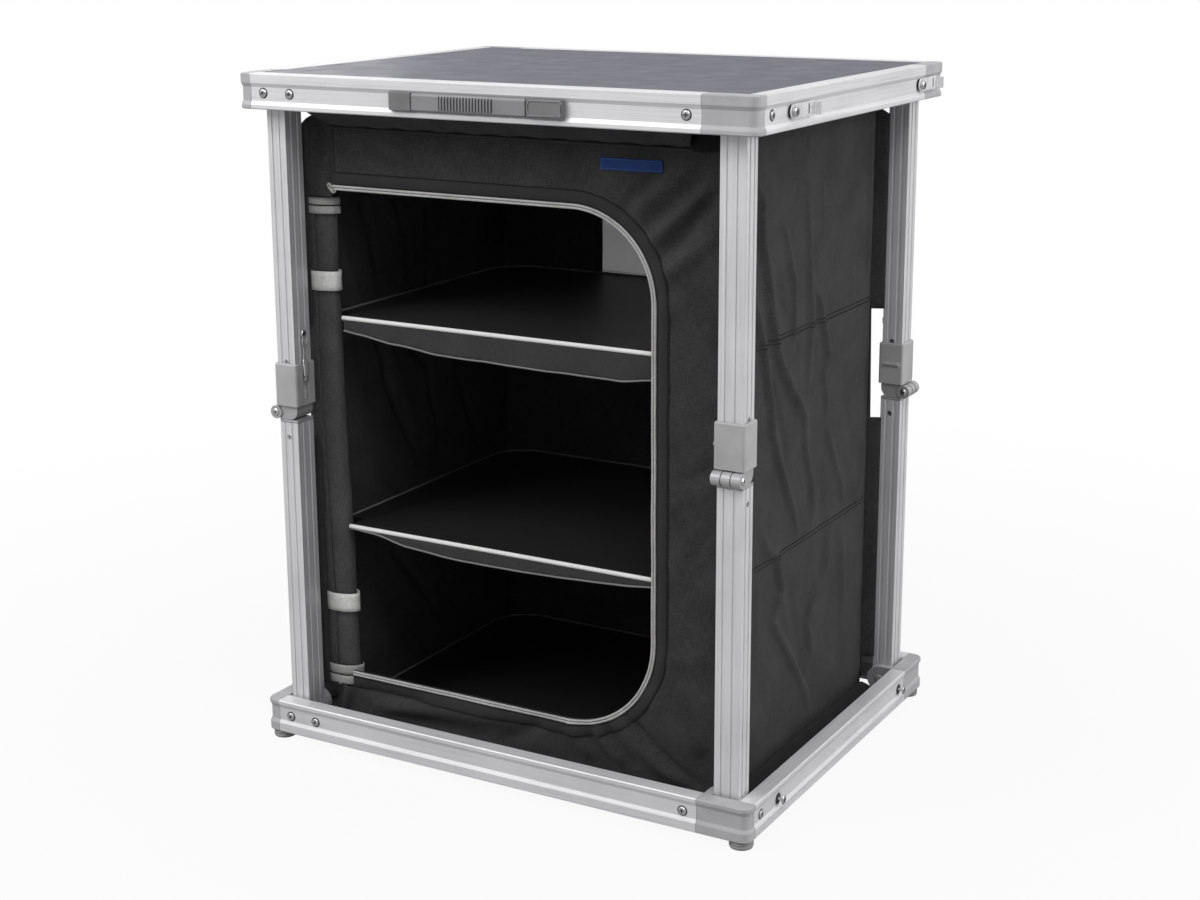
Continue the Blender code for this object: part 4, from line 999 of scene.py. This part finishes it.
def makeWalls():
    depth, width, low, high = body["halfDepth"], body["halfWidth"], body["low"], body["high"]
    frontFlap = [(-y, z) for y, z in flapEdge(depth)[:0:-1]]
    outline = [(-depth, low), (depth, low), (depth, high)] + frontFlap
    right = clothPiece("rightWall", outline, onRight, "cloth", pitch=0.004)
    rear, room = -depth + 0.001, -rollRoom["edge"]
    outline = flapEdge(depth) + [(rear, high), (rear, door["high"]), (room, door["high"]),
                                 (room, rollRoom["low"]), (rear, rollRoom["low"]), (rear, low)]
    left = clothPiece("leftWall", outline, onLeft, "cloth", flip=True)
    outline = flapEdge(width, 0.003, 0.001) + [(-width, high), (-width, low)]
    edges = [window[key] for key in ("left", "right", "low", "high")]
    opening = roundedLoop(*edges, window["radius"])
    rear = clothPiece("rearWall", outline, onRear, "cloth", [opening], flip=True)
    for piece, wide, area in ((right, 0.402, 0.275), (left, 0.402, 0.265), (rear, 0.52, 0.300)):
        fabricBody(piece)
    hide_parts("cloth_walls")
    seam = window["seam"]
    netCut = [edge + way * seam for edge, way in zip(edges, (-1, 1, -1, 1))]
    net = clothPiece("windowNet", roundedLoop(*netCut, window["radius"]), raised(onRear, -0.0014), "net",
                     pitch=0.006, thickness=0.0003)
    fabricBody(net)
    loop = [tuple(point) for point in resample(opening, 0.004)]
    section = [(-0.005, -0.0002), (-0.005, 0.0006), (-0.004, 0.0009), (0.004, 0.0009), (0.005, 0.0006),
               (0.005, -0.0002)]
    fabricBody(stripAlong("windowBinding", loop, section, onRear, "smoothCloth", True))
    inside = [(across, -rise - 0.0016) for across, rise in section]
    fabricBody(stripAlong("windowBindingInside", loop, inside, onRear, "smoothCloth", True))

    def seamRows(half):
        return [[(-half + 0.004, seam + off), (half - 0.004, seam + off)]
                for seam in seamHeights for off in (-0.0022, 0.0022)]

    fabricBody(stitches("rightStitching", seamRows(depth), raised(onRight, 0.0002)))
    fabricBody(stitches("leftStitching", seamRows(depth), raised(onLeft, 0.0002)))
    loop.append(loop[0])
    rows = seamRows(width) + [offsetPath(loop, 0.0034), offsetPath(loop, -0.0034)]
    fabricBody(stitches("rearStitching", rows, raised(onRear, 0.0010)))


makeWalls()


def makeCornerWelts():
    # Bound seams where the walls meet, at the body's four upright corners.
    for name, x, y in (("weltFrontRight", 0.2426, -0.1846), ("weltRearRight", 0.2432, 0.1842),
                       ("weltRearLeft", -0.2432, 0.1842)):
        path = []
        steps = 90
        for step in range(steps + 1):
            z = body["low"] + 0.012 + (0.700 - body["low"] - 0.012) * step / steps
            sway = 0.0005 * noise.noise(Vector((x * 9, y * 9, z * 14)))
            path.append(at(x + sway, y + sway, z))
        fabricBody(tubeAlong(name, path, 0.0014, "smoothCloth"))


makeCornerWelts()
print("Walls made")

# Base cloth, boards and shelves

shelf = {"x": 0.2387, "front": -0.1798, "back": 0.1825, "radius": 0.022, "rearRadius": 0.045,
         "thickness": 0.006, "notchX": -0.2200, "notchY": -0.1582, "skirtRight": 0.2335}


def boardOutline(inset=0.0):
    x, front, back = shelf["x"] - inset, shelf["front"] + inset, shelf["back"] - inset
    r, rear = shelf["radius"], shelf["rearRadius"]
    loop = arc(x - r, front + r, r, -90, 0, 8)
    loop += arc(x - rear, back - rear, rear, 0, 90, 12)
    loop += arc(rear - x, back - rear, rear, 90, 180, 12)
    loop += [(-x, shelf["notchY"] + inset), (shelf["notchX"] + inset, shelf["notchY"] + inset),
             (shelf["notchX"] + inset, front)]
    return loop


def makeSleeve(name, low, high, seed):
    # A board in a cloth sleeve: flat in the middle, with softly rounded edges.
    outline = resample(boardOutline(), 0.006)
    spots, triangles = clothPattern(boardOutline(0.0018), (), 0.010)
    points, uvs, faces = [], [], []
    for side, z in ((1, high), (-1, low)):
        first = len(points)
        for u, v in spots:
            sag = 0.0003 * noise.noise(Vector((u / 0.05, v / 0.05, seed + side)))
            points.append(at(u, v, z - abs(sag) * side))
            uvs.append((u, v))
        faces += [tuple(first + i for i in (t if side > 0 else t[::-1])) for t in triangles]
    ring = len(outline)
    rimFirst = len(points)
    rims = ((high - 0.0001, 0.0014), (high - 0.0012, 0.0), (low + 0.0012, 0.0), (low + 0.0001, 0.0014))
    for z, inset in rims:
        for spot in outline:
            u, v = spot.lerp(Vector((0, 0)), inset / max(0.01, spot.length))
            points.append(at(u, v, z))
            uvs.append((u + v, z))
    for level in range(3):
        for step in range(ring):
            a, b = rimFirst + level * ring + step, rimFirst + level * ring + (step + 1) % ring
            faces.append((a, a + ring, b + ring, b))
    # Its cloth is dark, and darker still as painted shade of the cupboard's inside.
    piece = addMesh(name, points, faces, "innerClothAndShade", uvs)
    cleanNormals(piece)
    return piece


def edgePiping(name, z):
    # Thin grey piping on top of a board, along its sides and rear.
    path = [at(u, v, z) for u, v in evenPath(boardOutline(0.0016)[8:-2], 0.006)]
    return tubeAlong(name, path, 0.0013, "greyPiping", 6)


baseCut = {"across": 0.061, "along": 0.076, "x": 0.2827, "y": 0.2227}


def makeBaseCloth():
    across, along, x, y = baseCut.values()
    halfX, halfY = frameSize["width"] / 2, frameSize["depth"] / 2
    outline = [(halfX - across, -y), (halfX - across, along - halfY), (x, along - halfY),
               (x, halfY - across), (halfX - along, halfY - across), (halfX - along, y),
               (across - halfX, y), (across - halfX, halfY - along), (-x, halfY - along),
               (-x, across - halfY), (along - halfX, across - halfY), (along - halfX, -y)]

    def onBase(u, v):
        # It ripples a little between the points where the rails hold it.
        edge = min(1.0, max(abs(u) - 0.240, abs(v) - 0.182, 0.0) / 0.02)
        ripple = 0.0008 * math.sin(u * 190 + v * 170) * edge
        ripple += 0.0006 * noise.noise(Vector((u / 0.02, v / 0.02, 2.0)))
        beyond = max(abs(u) - body["halfWidth"], abs(v) - body["halfDepth"])
        lift = 0.0100 * max(0.0, 1 - beyond / 0.038) if beyond > 0 else 0.0
        return at(u, v, 0.0064 + lift + ripple * min(1.0, edge + 0.1))

    cloth = clothPiece("baseCloth", outline, onBase, "smoothCloth", pitch=0.006, thickness=0.0008)
    fabricBody(cloth)
    floor = makeSleeve("floorSleeve", 0.0074, 0.0178, 1.0)
    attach(floor, "base_frame")
    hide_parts("floor_board")
    fabricBody(edgePiping("floorEdgePiping", 0.0184))


makeBaseCloth()

skirts = {
    "upper_shelf": {
        "top": 0.4715,
        "seed": 31,
        "drop": ((-0.2150, 0.4560), (-0.1980, 0.4540), (-0.1500, 0.4475), (-0.0930, 0.4420),
                 (0.0050, 0.4400), (0.0800, 0.4390), (0.1250, 0.4390), (0.1640, 0.4435), (0.2000, 0.4500),
                 (0.2340, 0.4570)),
    },
    "lower_shelf": {
        "top": 0.2365,
        "seed": 47,
        "drop": ((-0.2150, 0.2330), (-0.1840, 0.2310), (-0.1440, 0.2230), (-0.0710, 0.2180),
                 (0.0290, 0.2190), (0.1250, 0.2235), (0.1640, 0.2275), (0.2000, 0.2300), (0.2340, 0.2320)),
    },
}


def smoothDrop(table, x):
    for (x0, z0), (x1, z1) in zip(table, table[1:]):
        if x <= x1:
            share = (x - x0) / (x1 - x0)
            share = share * share * (3 - 2 * share) * 0.4 + share * 0.6
            return z0 + (z1 - z0) * share
    return table[-1][1]


def rideWith(piece, bodyName):
    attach(piece, bodyName)


def makeShelf(bodyName, sizes):
    top, seed = sizes["top"], sizes["seed"]
    low, front = top - shelf["thickness"], shelf["front"]
    label = bodyName.replace("_shelf", "Shelf")
    sleeve = makeSleeve(label + "Sleeve", low, top, seed)
    rideWith(sleeve, bodyName)
    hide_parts(bodyName)
    # Front piping is thick and white, the sides' is thin and grey.
    start, run = shelf["notchX"] + 0.001, shelf["x"] - 0.020 - shelf["notchX"]
    path = [at(start + run * step / 60, front - 0.0006, top - 0.0016) for step in range(61)]
    rideWith(tubeAlong(label + "FrontPiping", path, 0.0024, "piping", 10), bodyName)
    rideWith(edgePiping(label + "EdgePiping", top + 0.0006), bodyName)
    # The skirt hangs from the front edge, with a curved hem.
    left, right = shelf["notchX"] + 0.003, shelf["skirtRight"]
    steps = 80
    across = [left + (right - left) * step / steps for step in range(steps + 1)]
    lowLine = [(x, smoothDrop(sizes["drop"], x)) for x in across]
    hangTop = low + 0.0035
    outline = [(left, hangTop)] + lowLine + [(right, hangTop)]
    random.seed(seed)
    phases = [random.uniform(0, 6.28) for _ in range(4)]

    def onSkirt(x, z):
        share = min(1.0, max(0.0, (hangTop - z) / 0.03))
        wave = 0.0011 * math.sin(x * 62 + phases[0]) + 0.0006 * math.sin(x * 131 + phases[1] + z * 20)
        wave += 0.0006 * noise.noise(Vector((x / 0.02, z / 0.02, seed)))
        return at(x, front - 0.0018 - wave * share, z)

    skirt = clothPiece(label + "Skirt", outline, onSkirt, "skirtCloth", pitch=0.004, thickness=0.0008)
    hem = [onSkirt(x, z) + Vector((0, -0.0002, 0)) for x, z in lowLine]
    cord = tubeAlong(label + "SkirtPiping", hem, 0.0011, "greyPiping", 6)
    for piece in (skirt, cord):
        rideWith(piece, bodyName)
        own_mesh(piece)


for bodyName, sizes in skirts.items():
    makeShelf(bodyName, sizes)
print("Shelves made")

# The rolled door with its straps

rollSize = {"x": -0.2460, "y": -0.1705, "across": 0.0240, "deep": 0.0118, "low": 0.048, "high": 0.602,
            "turns": 4.6, "core": 0.24, "cloth": 0.0007}
rollLean = {"top": -0.0050, "foot": 0.0040}
strapBands = ((0.1326, 0.1534), (0.4977, 0.5187))
tapeBands = ((0.0450, 0.0685), (0.5817, 0.5993))


def rollWidth(z):
    # How far the roll is drawn in: under the straps and at its ends.
    width = 1.0
    for low, high in strapBands:
        middle, half = (low + high) / 2, (high - low) / 2
        width -= 0.04 * math.exp(-(max(0.0, abs(z - middle) - half) / 0.010) ** 2)
    for end in (rollSize["low"], rollSize["high"]):
        width -= 0.06 * math.exp(-((z - end) / 0.018) ** 2)
    return width + 0.025 * math.sin(z * 31 + 1.0)


def rollPoint(angle, share, z):
    # Share is 1 on the outside. Dents and slack are the same through the layers, so they never cross.
    width = rollWidth(z)
    dent = 0.05 * noise.noise(Vector((math.cos(angle) * 1.6, math.sin(angle) * 1.6, z / 0.030)))
    dent += 0.035 * noise.noise(Vector((math.cos(angle) * 3.5, math.sin(angle) * 3.5, z / 0.090 + 4)))
    scale = share * (width + dent)
    # It leans: its foot lies further to the right than its top.
    share = min(1.0, max(0.0, (0.43 - z) / 0.33))
    lean = rollLean["top"] + (rollLean["foot"] - rollLean["top"]) * share * share * (3 - 2 * share)
    return at(rollSize["x"] + lean + rollSize["across"] * scale * math.cos(angle),
              rollSize["y"] + rollSize["deep"] * scale * math.sin(angle), z)


def makeRoll():
    around = int(rollSize["turns"] * 40)
    rows = 150
    low, rise = rollSize["low"], rollSize["high"] - rollSize["low"]

    def turnAt(step):
        return 2 * math.pi * rollSize["turns"] * step / around

    def shareAt(step):
        return rollSize["core"] + (1 - rollSize["core"]) * step / around

    # The pattern's width, measured along the cloth from the core outward.
    lengths = [0.0]
    for step in range(1, around + 1):
        share = shareAt(step)
        last = rollPoint(turnAt(step - 1), share, 0.3)
        lengths.append(lengths[-1] + (rollPoint(turnAt(step), share, 0.3) - last).length)
    finish = math.radians(55)
    points, uvs = [], []
    for row in range(rows + 1):
        z = low + rise * row / rows
        for step in range(around + 1):
            spot = rollPoint(turnAt(step) + finish, shareAt(step), z)
            if row in (0, rows):
                spot.z += (1 - step / around) * 0.004 * math.sin(turnAt(step) * 0.7)
            points.append(spot)
            uvs.append((lengths[step], z))
    roll = addMesh("rolledDoor", points, gridFaces(rows, around), "rollCloth", uvs)
    thicken(roll, rollSize["cloth"], 0.0)
    fabricBody(roll)
    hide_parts("door_roll")
    end = finish + 2 * math.pi * rollSize["turns"] - 0.04
    edge = [rollPoint(end, 1.03, low + rise * step / 120) for step in range(121)]
    fabricBody(tubeAlong("doorEdge", edge, 0.0010, "rollCloth", 6))


def ringBand(name, low, high, lift, thickness, finish, extra=0.0, start=-200.0, puff=0.0):
    # A flat band round the roll. With extra, its end lies over its beginning.
    rows, steps = 4, 72
    total = 360 + extra
    points, uvs = [], []
    for row in range(rows + 1):
        share = row / rows
        z = low + (high - low) * share
        bulge = puff * math.sin(math.pi * share)
        for step in range(steps + 1):
            turned = total * step / steps
            angle = math.radians(start + turned)
            over = thickness * 1.3 * max(0.0, (turned - 330) / (total - 330)) if extra else 0.0
            away = Vector((math.cos(angle), math.sin(angle) * 1.3, 0)).normalized()
            points.append(rollPoint(angle, 1.0, z) + away * (lift + over + bulge))
            uvs.append((step * 0.0016, z))
    band = addMesh(name, points, gridFaces(rows, steps), finish, uvs)
    thicken(band, thickness, 1.0)
    fabricBody(band)


def makeStraps():
    for name, (low, high) in zip(("lowerStrap", "upperStrap"), strapBands):
        ringBand(name, low, high, 0.0004, 0.0013, "webbing", 70.0, -215.0)
    for name, (low, high) in zip(("lowerTape", "upperTape"), tapeBands):
        ringBand(name + "Base", low - 0.001, high + 0.001, 0.0002, 0.0007, "smoothCloth")
        middle = (low + high) / 2
        ringBand(name + "CoilLow", low, middle - 0.0009, 0.0008, 0.0010, "zip", puff=0.0006)
        ringBand(name + "CoilHigh", middle + 0.0009, high, 0.0008, 0.0010, "zip", puff=0.0006)


makeRoll()
makeStraps()
print("Rolled door made")

# Small fittings on the rails, legs and handle


def crossPiece(name, centre, facing, up, size, bodyName, depth):
    # A cross recess in a screw's head, painted as shade: a slim dark four-armed plate with tapered arms.
    facing, up = facing.normalized(), up.normalized()
    side = up.cross(facing)
    arm, thin = size, size * 0.24
    flat = [(thin, thin), (arm, thin * 0.7), (arm, -thin * 0.7), (thin, -thin), (thin * 0.7, -arm),
            (-thin * 0.7, -arm), (-thin, -thin), (-arm, -thin * 0.7), (-arm, thin * 0.7), (-thin, thin),
            (-thin * 0.7, arm), (thin * 0.7, arm)]
    points = []
    for out in (0.0, depth):
        points += [centre + facing * out + side * a + up * b for a, b in flat]
    shadePlate(name, points, bodyName)


def discPiece(name, centre, facing, radius, rise, bodyName, finish, sides=20, dish=0.5, inner=0.0):
    # A small domed head, or a ring where inner is more than 0.
    facing = facing.normalized()
    side = facing.orthogonal().normalized()
    up = facing.cross(side)
    levels = [(radius, -0.0004), (radius, rise * 0.45), (radius * 0.86, rise * 0.85), (radius * dish, rise)]
    if inner:
        levels += [(inner, rise * 0.7), (inner, -0.0004)]
    points = []
    for wide, out in levels:
        for step in range(sides):
            angle = 2 * math.pi * step / sides
            spot = centre + facing * out + side * wide * math.cos(angle)
            points.append(spot + up * wide * math.sin(angle))
    faces = []
    last = len(levels) if inner else len(levels) - 1
    for level in range(last):
        after = (level + 1) % len(levels)
        for step in range(sides):
            a, b = level * sides + step, level * sides + (step + 1) % sides
            c, d = after * sides + (step + 1) % sides, after * sides + step
            faces.append((a, b, c, d))
    if not inner:
        faces.append(tuple(range(sides))[::-1])
        faces.append(tuple(range((len(levels) - 1) * sides, len(levels) * sides)))
    piece = addMesh(name, points, faces, finish, smooth=False)
    cleanNormals(piece)
    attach(piece, bodyName)


# Seat and bore are painted shade: the dark ring round a head and the dark hole in a rivet's middle.
railFittings = {"height": 0.020, "screw": -0.074, "bolt": 0.067, "rivet": 0.033, "waist": 0.002,
                "radius": 0.0044, "rise": 0.0018, "seatShadeRadius": 0.0056, "cross": 0.0026, "bore": 0.0016}


def makeRailFittings():
    sizes = railFittings
    spans = (frameSize["width"], frameSize["depth"], frameSize["width"], frameSize["depth"])
    levels = (("Lower", sizes["height"], "base_frame"),
              ("Upper", frameSize["height"] - sizes["height"], "top_frame"))
    for index, side in enumerate(("front", "right", "rear", "left")):
        out, up = cornerTurn(index) @ Vector((0, -1, 0)), Vector((0, 0, 1))
        for level, height, bodyName in levels:
            places = [sizes["screw"], -(spans[index] - sizes["bolt"]), -(spans[index] - sizes["rivet"])]
            if side == "right":
                places = places[2:]
            for number, x in enumerate(places):
                name = f"{side}{level}Head{number + 1}"
                waist = atCorner(index, x, sizes["waist"], height)
                discPiece(name + "Seat", waist, out, sizes["seatShadeRadius"], 0.0002, bodyName, "recessShade", 24,
                          0.8)
                discPiece(name, waist, out, sizes["radius"], sizes["rise"], bodyName, "steel", 24, 0.55)
                spot = waist + out * sizes["rise"]
                if number == 0 and side != "right":
                    crossPiece(name + "Cross", spot, out, up, sizes["cross"], bodyName, 0.0001)
                else:
                    discPiece(name + "BoreShade", spot, out, sizes["bore"], 0.0001, bodyName, "recessShade", 14)


# The collar slides over the upper screws, so they are flatter.
legScrews = {
    "x": -0.0347,
    "y": 0.0327,
    "toFace": 0.0137,
    "radius": 0.0031,
    "slot": 0.0016,
    "rows": (("Lower", "lower_leg", 0.3400, 0.0004), ("Upper", "upper_leg", 0.4236, 0.00022)),
}


def makeLegScrews():
    up = Vector((0, 0, 1))
    for index, corner in enumerate(corners):
        for faceName, side in (("Outer", 1), ("Inner", -1)):
            out = cornerTurn(index) @ Vector((side, 0, 0))
            for level, half, z, rise in legScrews["rows"]:
                spot = atCorner(index, legScrews["x"] + side * legScrews["toFace"], legScrews["y"], z)
                name = f"legScrew{faceName}{level}_{corner}"
                bodyName = f"{half}_{corner}"
                discPiece(name, spot, out, legScrews["radius"], rise, bodyName, "steel", 20, 0.6)
                spot += out * rise * 0.9
                # A dark cross of painted shade in each screw's head.
                crossPiece(name + "SlotShade", spot, out, up, legScrews["slot"], bodyName, 0.00005)


# How far each part stands out from the rail's face is under its own name.
latchBolts = {"height": 0.020, "fromEnd": 0.074, "seatShadeOut": -0.0018, "seatShadeRadius": 0.0060, "headOut": 0.0044,
              "headRadius": 0.0049, "headRise": 0.0011, "crossOut": 0.0055, "cross": 0.0024}
latchHoleShade = {"face": 0.3004, "away": 0.0343, "height": 0.713, "radius": 0.0019, "half": 0.0031}


def makeLatchSlots():
    # The bolts that the latches turn on, and the studs below that they catch.
    out, up = Vector((1, 0, 0)), Vector((0, 0, 1))
    bolt, x = latchBolts, frameSize["width"] / 2
    for name, place in (("front", -1), ("rear", 1)):
        y = place * (frameSize["depth"] / 2 - bolt["fromEnd"])
        for level, z, bodyName in (("latchBolt", frameSize["height"] - bolt["height"], "top_frame"),
                                   ("catchStud", bolt["height"], "base_frame")):
            # Painted shade: a dark ring round each head, and a dark cross in it.
            discPiece(f"{level}Seat_{name}", at(x + bolt["seatShadeOut"], y, z), out, bolt["seatShadeRadius"], 0.0002,
                      bodyName, "recessShade", 28, 0.9)
            discPiece(f"{level}_{name}", at(x + bolt["headOut"], y, z), out, bolt["headRadius"],
                      bolt["headRise"], bodyName, "steel", 28, 0.5)
            crossPiece(f"{level}Cross_{name}", at(x + bolt["crossOut"], y, z), out, up, bolt["cross"],
                       bodyName, 0.0001)
        # A dark plate of painted shade in each latch's slot.
        hole = arc(0, latchHoleShade["half"], latchHoleShade["radius"], 0, 180, 8)
        hole += arc(0, -latchHoleShade["half"], latchHoleShade["radius"], 180, 360, 8)
        centre = at(latchHoleShade["face"], y + latchHoleShade["away"], latchHoleShade["height"])
        points = [centre + Vector((side, v, u)) for side in (0.0, 0.00012) for v, u in hole]
        shadePlate(f"latchHoleShade_{name}", points, f"storage_latch_{name}")


knee = {"y": 0.017, "z": 0.3665, "radius": 0.0073, "low": -0.0506, "length": 0.0318, "gaps": (0.333, 0.667),
        "pinEnds": ((-0.0178, 1), (-0.0516, -1)), "pinRadius": 0.0021}


def makeKnuckles():
    # Painted shade: dark rings in the gaps between the knuckles of each knee's barrel, and dark discs on the
    # ends of its pin.
    for index, corner in enumerate(corners):
        bodyName = f"lower_leg_{corner}"
        along = cornerTurn(index) @ Vector((1, 0, 0))
        for number, share in enumerate(knee["gaps"]):
            spot = atCorner(index, knee["low"] + knee["length"] * share, knee["y"], knee["z"])
            discPiece(f"knuckleGapShade{number + 1}_{corner}", spot, along, knee["radius"] + 0.00012, 0.0007,
                      bodyName, "recessShade", 32, 0.98, knee["radius"] - 0.0006)
        for number, (x, side) in enumerate(knee["pinEnds"]):
            spot = atCorner(index, x, knee["y"], knee["z"])
            discPiece(f"pinEndShade{number + 1}_{corner}", spot, along * side, knee["pinRadius"], 0.0003,
                      bodyName, "recessShade", 18)


# Heights are in the open cupboard. The right edge runs from the leaf's eye down to its lever's tip.
catch = {
    "x": -0.0347,
    "face": 0.0460,
    "tip": 0.4002,
    "bend": 0.4256,
    "wings": (0.4400, 0.4490),
    "eye": 0.4538,
    "dot": 0.4430,
    "rightEdge": [(0.0016, 0.4579), (0.0036, 0.4562), (0.0042, 0.4538), (0.0036, 0.4514), (0.0024, 0.4500),
                  (0.0030, 0.4488), (0.0052, 0.4480), (0.0056, 0.4462), (0.0050, 0.4440), (0.0054, 0.4424),
                  (0.0046, 0.4408), (0.0026, 0.4396), (0.0020, 0.4340), (0.0022, 0.4256), (0.0037, 0.4234),
                  (0.0044, 0.4190), (0.0045, 0.4140), (0.0042, 0.4080), (0.0033, 0.4030), (0.0018, 0.4002)],
}


def makeCatches():
    # Each collar's spring catch is one pressed leaf: a riveted eye, two wings and an oval thumb lever.
    right = catch["rightEdge"]
    outline = right + [(-x, z) for x, z in reversed(right)]
    tip, bend = catch["tip"], catch["bend"]
    wingLow, wingHigh = catch["wings"]
    for index, corner in enumerate(corners):
        bodyName = f"collar_catch_{corner}"
        out = cornerTurn(index) @ Vector((0, 1, 0))

        def onCatch(x, z):
            swell = 0.0
            if z < bend:
                share = (z - tip) / (bend - tip)
                swell = 0.0034 * math.sin(math.pi * min(1.0, share * 0.9 + 0.1)) * (1 - (x / 0.0072) ** 2)
            wing = 0.0020 * (abs(x) / 0.0054) ** 2 if wingLow < z < wingHigh else 0.0
            return atCorner(index, catch["x"] + x, catch["face"] + max(0.0, swell) + wing, z)

        leaf = clothPiece(f"catchLeaf_{corner}", outline, onCatch, "catch", pitch=0.0013, thickness=0.0010)
        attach(leaf, bodyName)
        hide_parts(bodyName)
        # The dot is a small dark disc of painted shade.
        for name, z, radius, rise, finish, sides, dish in (
                ("Eye", catch["eye"], 0.0034, 0.0016, "steel", 22, 0.4),
                ("Dot", catch["dot"], 0.0012, 0.0002, "recessShade", 14, 0.5)):
            spot = atCorner(index, catch["x"], 0.0461, z)
            discPiece(f"catch{name}_{corner}", spot, out, radius, rise, bodyName, finish, sides, dish)


handleTrim = {"out": 0.0045, "grooves": 18, "firstGroove": -0.0425, "groovePitch": 0.0036, "low": 0.7052,
              "high": 0.7193, "slits": (("Left", -0.07725), ("Right", 0.05625)), "slitLow": 0.7037,
              "slitHeight": 0.0171, "rim": (0.0590, 0.0962, 0.7052, 0.7196)}


def makeHandleTrim():
    # Painted shade in the grooves between the grip's ribs and in the slits beside the grip, and a raised rim
    # on the right block.
    face = -frameSize["depth"] / 2 - handleTrim["out"]
    low, high = handleTrim["low"], handleTrim["high"]
    points, faces = [], []
    for number in range(handleTrim["grooves"]):
        x = handleTrim["firstGroove"] + handleTrim["groovePitch"] * number - 0.0009
        faces += beadFaces(len(points))
        for z, half in ((low, 0.0002), (low + 0.001, 0.0008), (high - 0.001, 0.0008), (high, 0.0002)):
            points += [at(x - half, face + 0.0002, z), at(x - half, face - 0.00012, z),
                       at(x + half, face - 0.00012, z), at(x + half, face + 0.0002, z)]
    grooves = addMesh("gripGrooveShade", points, faces, "recessShade", smooth=False)
    cleanNormals(grooves)
    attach(grooves, "handle_grip")
    for name, x in handleTrim["slits"]:
        path = [at(x, face + 0.0010, handleTrim["slitLow"] + handleTrim["slitHeight"] * step / 8)
                for step in range(9)]
        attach(tubeAlong("handleSlitShade" + name, path, 0.0010, "recessShade", 6), "top_frame")
    loop = roundedLoop(*handleTrim["rim"], 0.0030)
    path = [at(x, face - 0.0001, z) for x, z in loop + loop[:1]]
    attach(tubeAlong("blockRim", path, 0.0007, "grip"), "top_frame")


makeRailFittings()
makeLegScrews()
makeLatchSlots()
makeKnuckles()
makeCatches()
makeHandleTrim()
print("Fittings made")

# Floor, light and world

sky = 0.30
floorSize = 60.0


def makeStage():
    size, z = floorSize, cadLow[2] - 0.0002
    points = [(-size, -size, z), (size, -size, z), (size, size, z), (-size, size, z)]
    floor = addMesh("studioFloor", points, [(0, 1, 2, 3)], "cloth", smooth=False)
    floor.data.materials.clear()
    finish, tree, shader = newFinish("paleFloor", 0.75)
    place = addNode(tree, "TexCoord").outputs["Object"]
    shade = stretchedNoise(tree, place, (3, 3, 3), 3)
    tree.links.new(ramp(tree, shade, ((0.3, (0.39, 0.39, 0.39, 1)), (0.7, (0.41, 0.41, 0.41, 1)))),
                   shader.inputs["Base Color"])
    glow = addNode(tree, "Emission", {"Color": (1, 1, 1, 1), "Strength": 1.0})
    path = addNode(tree, "LightPath")
    away = addNode(tree, "VectorMath", {0: place}, operation="LENGTH").outputs["Value"]
    ends = {"Value": away, "From Min": 0.5, "From Max": 1.6, "To Min": 0.93, "To Max": 1.0}
    share = addNode(tree, "MapRange", ends)
    seen = mathNode(tree, "MULTIPLY", path.outputs["Is Camera Ray"], share.outputs[0])
    mixed = addNode(tree, "MixShader", {0: seen, 1: shader.outputs[0], 2: glow.outputs[0]})
    tree.links.new(mixed.outputs[0], tree.nodes["Material Output"].inputs["Surface"])
    floor.data.materials.append(finish)


def makeWorld():
    world = bpy.data.worlds.new("studio")
    bpy.context.scene.world = world
    world.use_nodes = True
    tree = world.node_tree
    light = tree.nodes["Background"]
    light.inputs["Color"].default_value = (1, 1, 1, 1)
    light.inputs["Strength"].default_value = sky
    backdrop = addNode(tree, "Background", {"Color": (1, 1, 1, 1), "Strength": 1.0})
    path = addNode(tree, "LightPath")
    seen = mathNode(tree, "MAXIMUM", path.outputs["Is Camera Ray"], path.outputs["Is Glossy Ray"])
    seen = mathNode(tree, "MAXIMUM", seen, path.outputs["Is Transmission Ray"])
    mixed = addNode(tree, "MixShader", {0: seen, 1: light.outputs[0], 2: backdrop.outputs[0]})
    tree.links.new(mixed.outputs[0], tree.nodes["World Output"].inputs["Surface"])


lamps = {
    "keyLamp": {"place": (-1.7, -2.1, 2.4), "target": (0, 0, 0.4), "size": 1.8, "power": 78.0},
    "fillLamp": {"place": (1.4, -1.5, 2.9), "target": (0, 0, 0.4), "size": 1.5, "power": 36.0},
    "sideLamp": {"place": (3.2, 0.9, 1.5), "target": (0, 0, 0.5), "size": 1.5, "power": 66.0},
    "topLamp": {"place": (0.2, 0.3, 3.0), "target": (0, 0, 0.4), "size": 2.4, "power": 4.0},
    "rearLamp": {"place": (-2.9, 2.9, 1.2), "target": (-0.2, 0.1, 0.73), "size": 0.9, "power": 9.0},
}


def addLamp(name, place, target, size, power):
    data = bpy.data.lights.new(name, "AREA")
    data.size = size
    data.energy = power
    lamp = bpy.data.objects.new(name, data)
    lamp.location = place
    lamp.rotation_euler = (Vector(target) - Vector(place)).to_track_quat("-Z", "Y").to_euler()
    bpy.context.scene.collection.objects.link(lamp)


makeStage()
makeWorld()
for name, values in lamps.items():
    addLamp(name, **values)

scene = bpy.context.scene
scene.view_settings.view_transform = "Standard"

print("Scene ready")
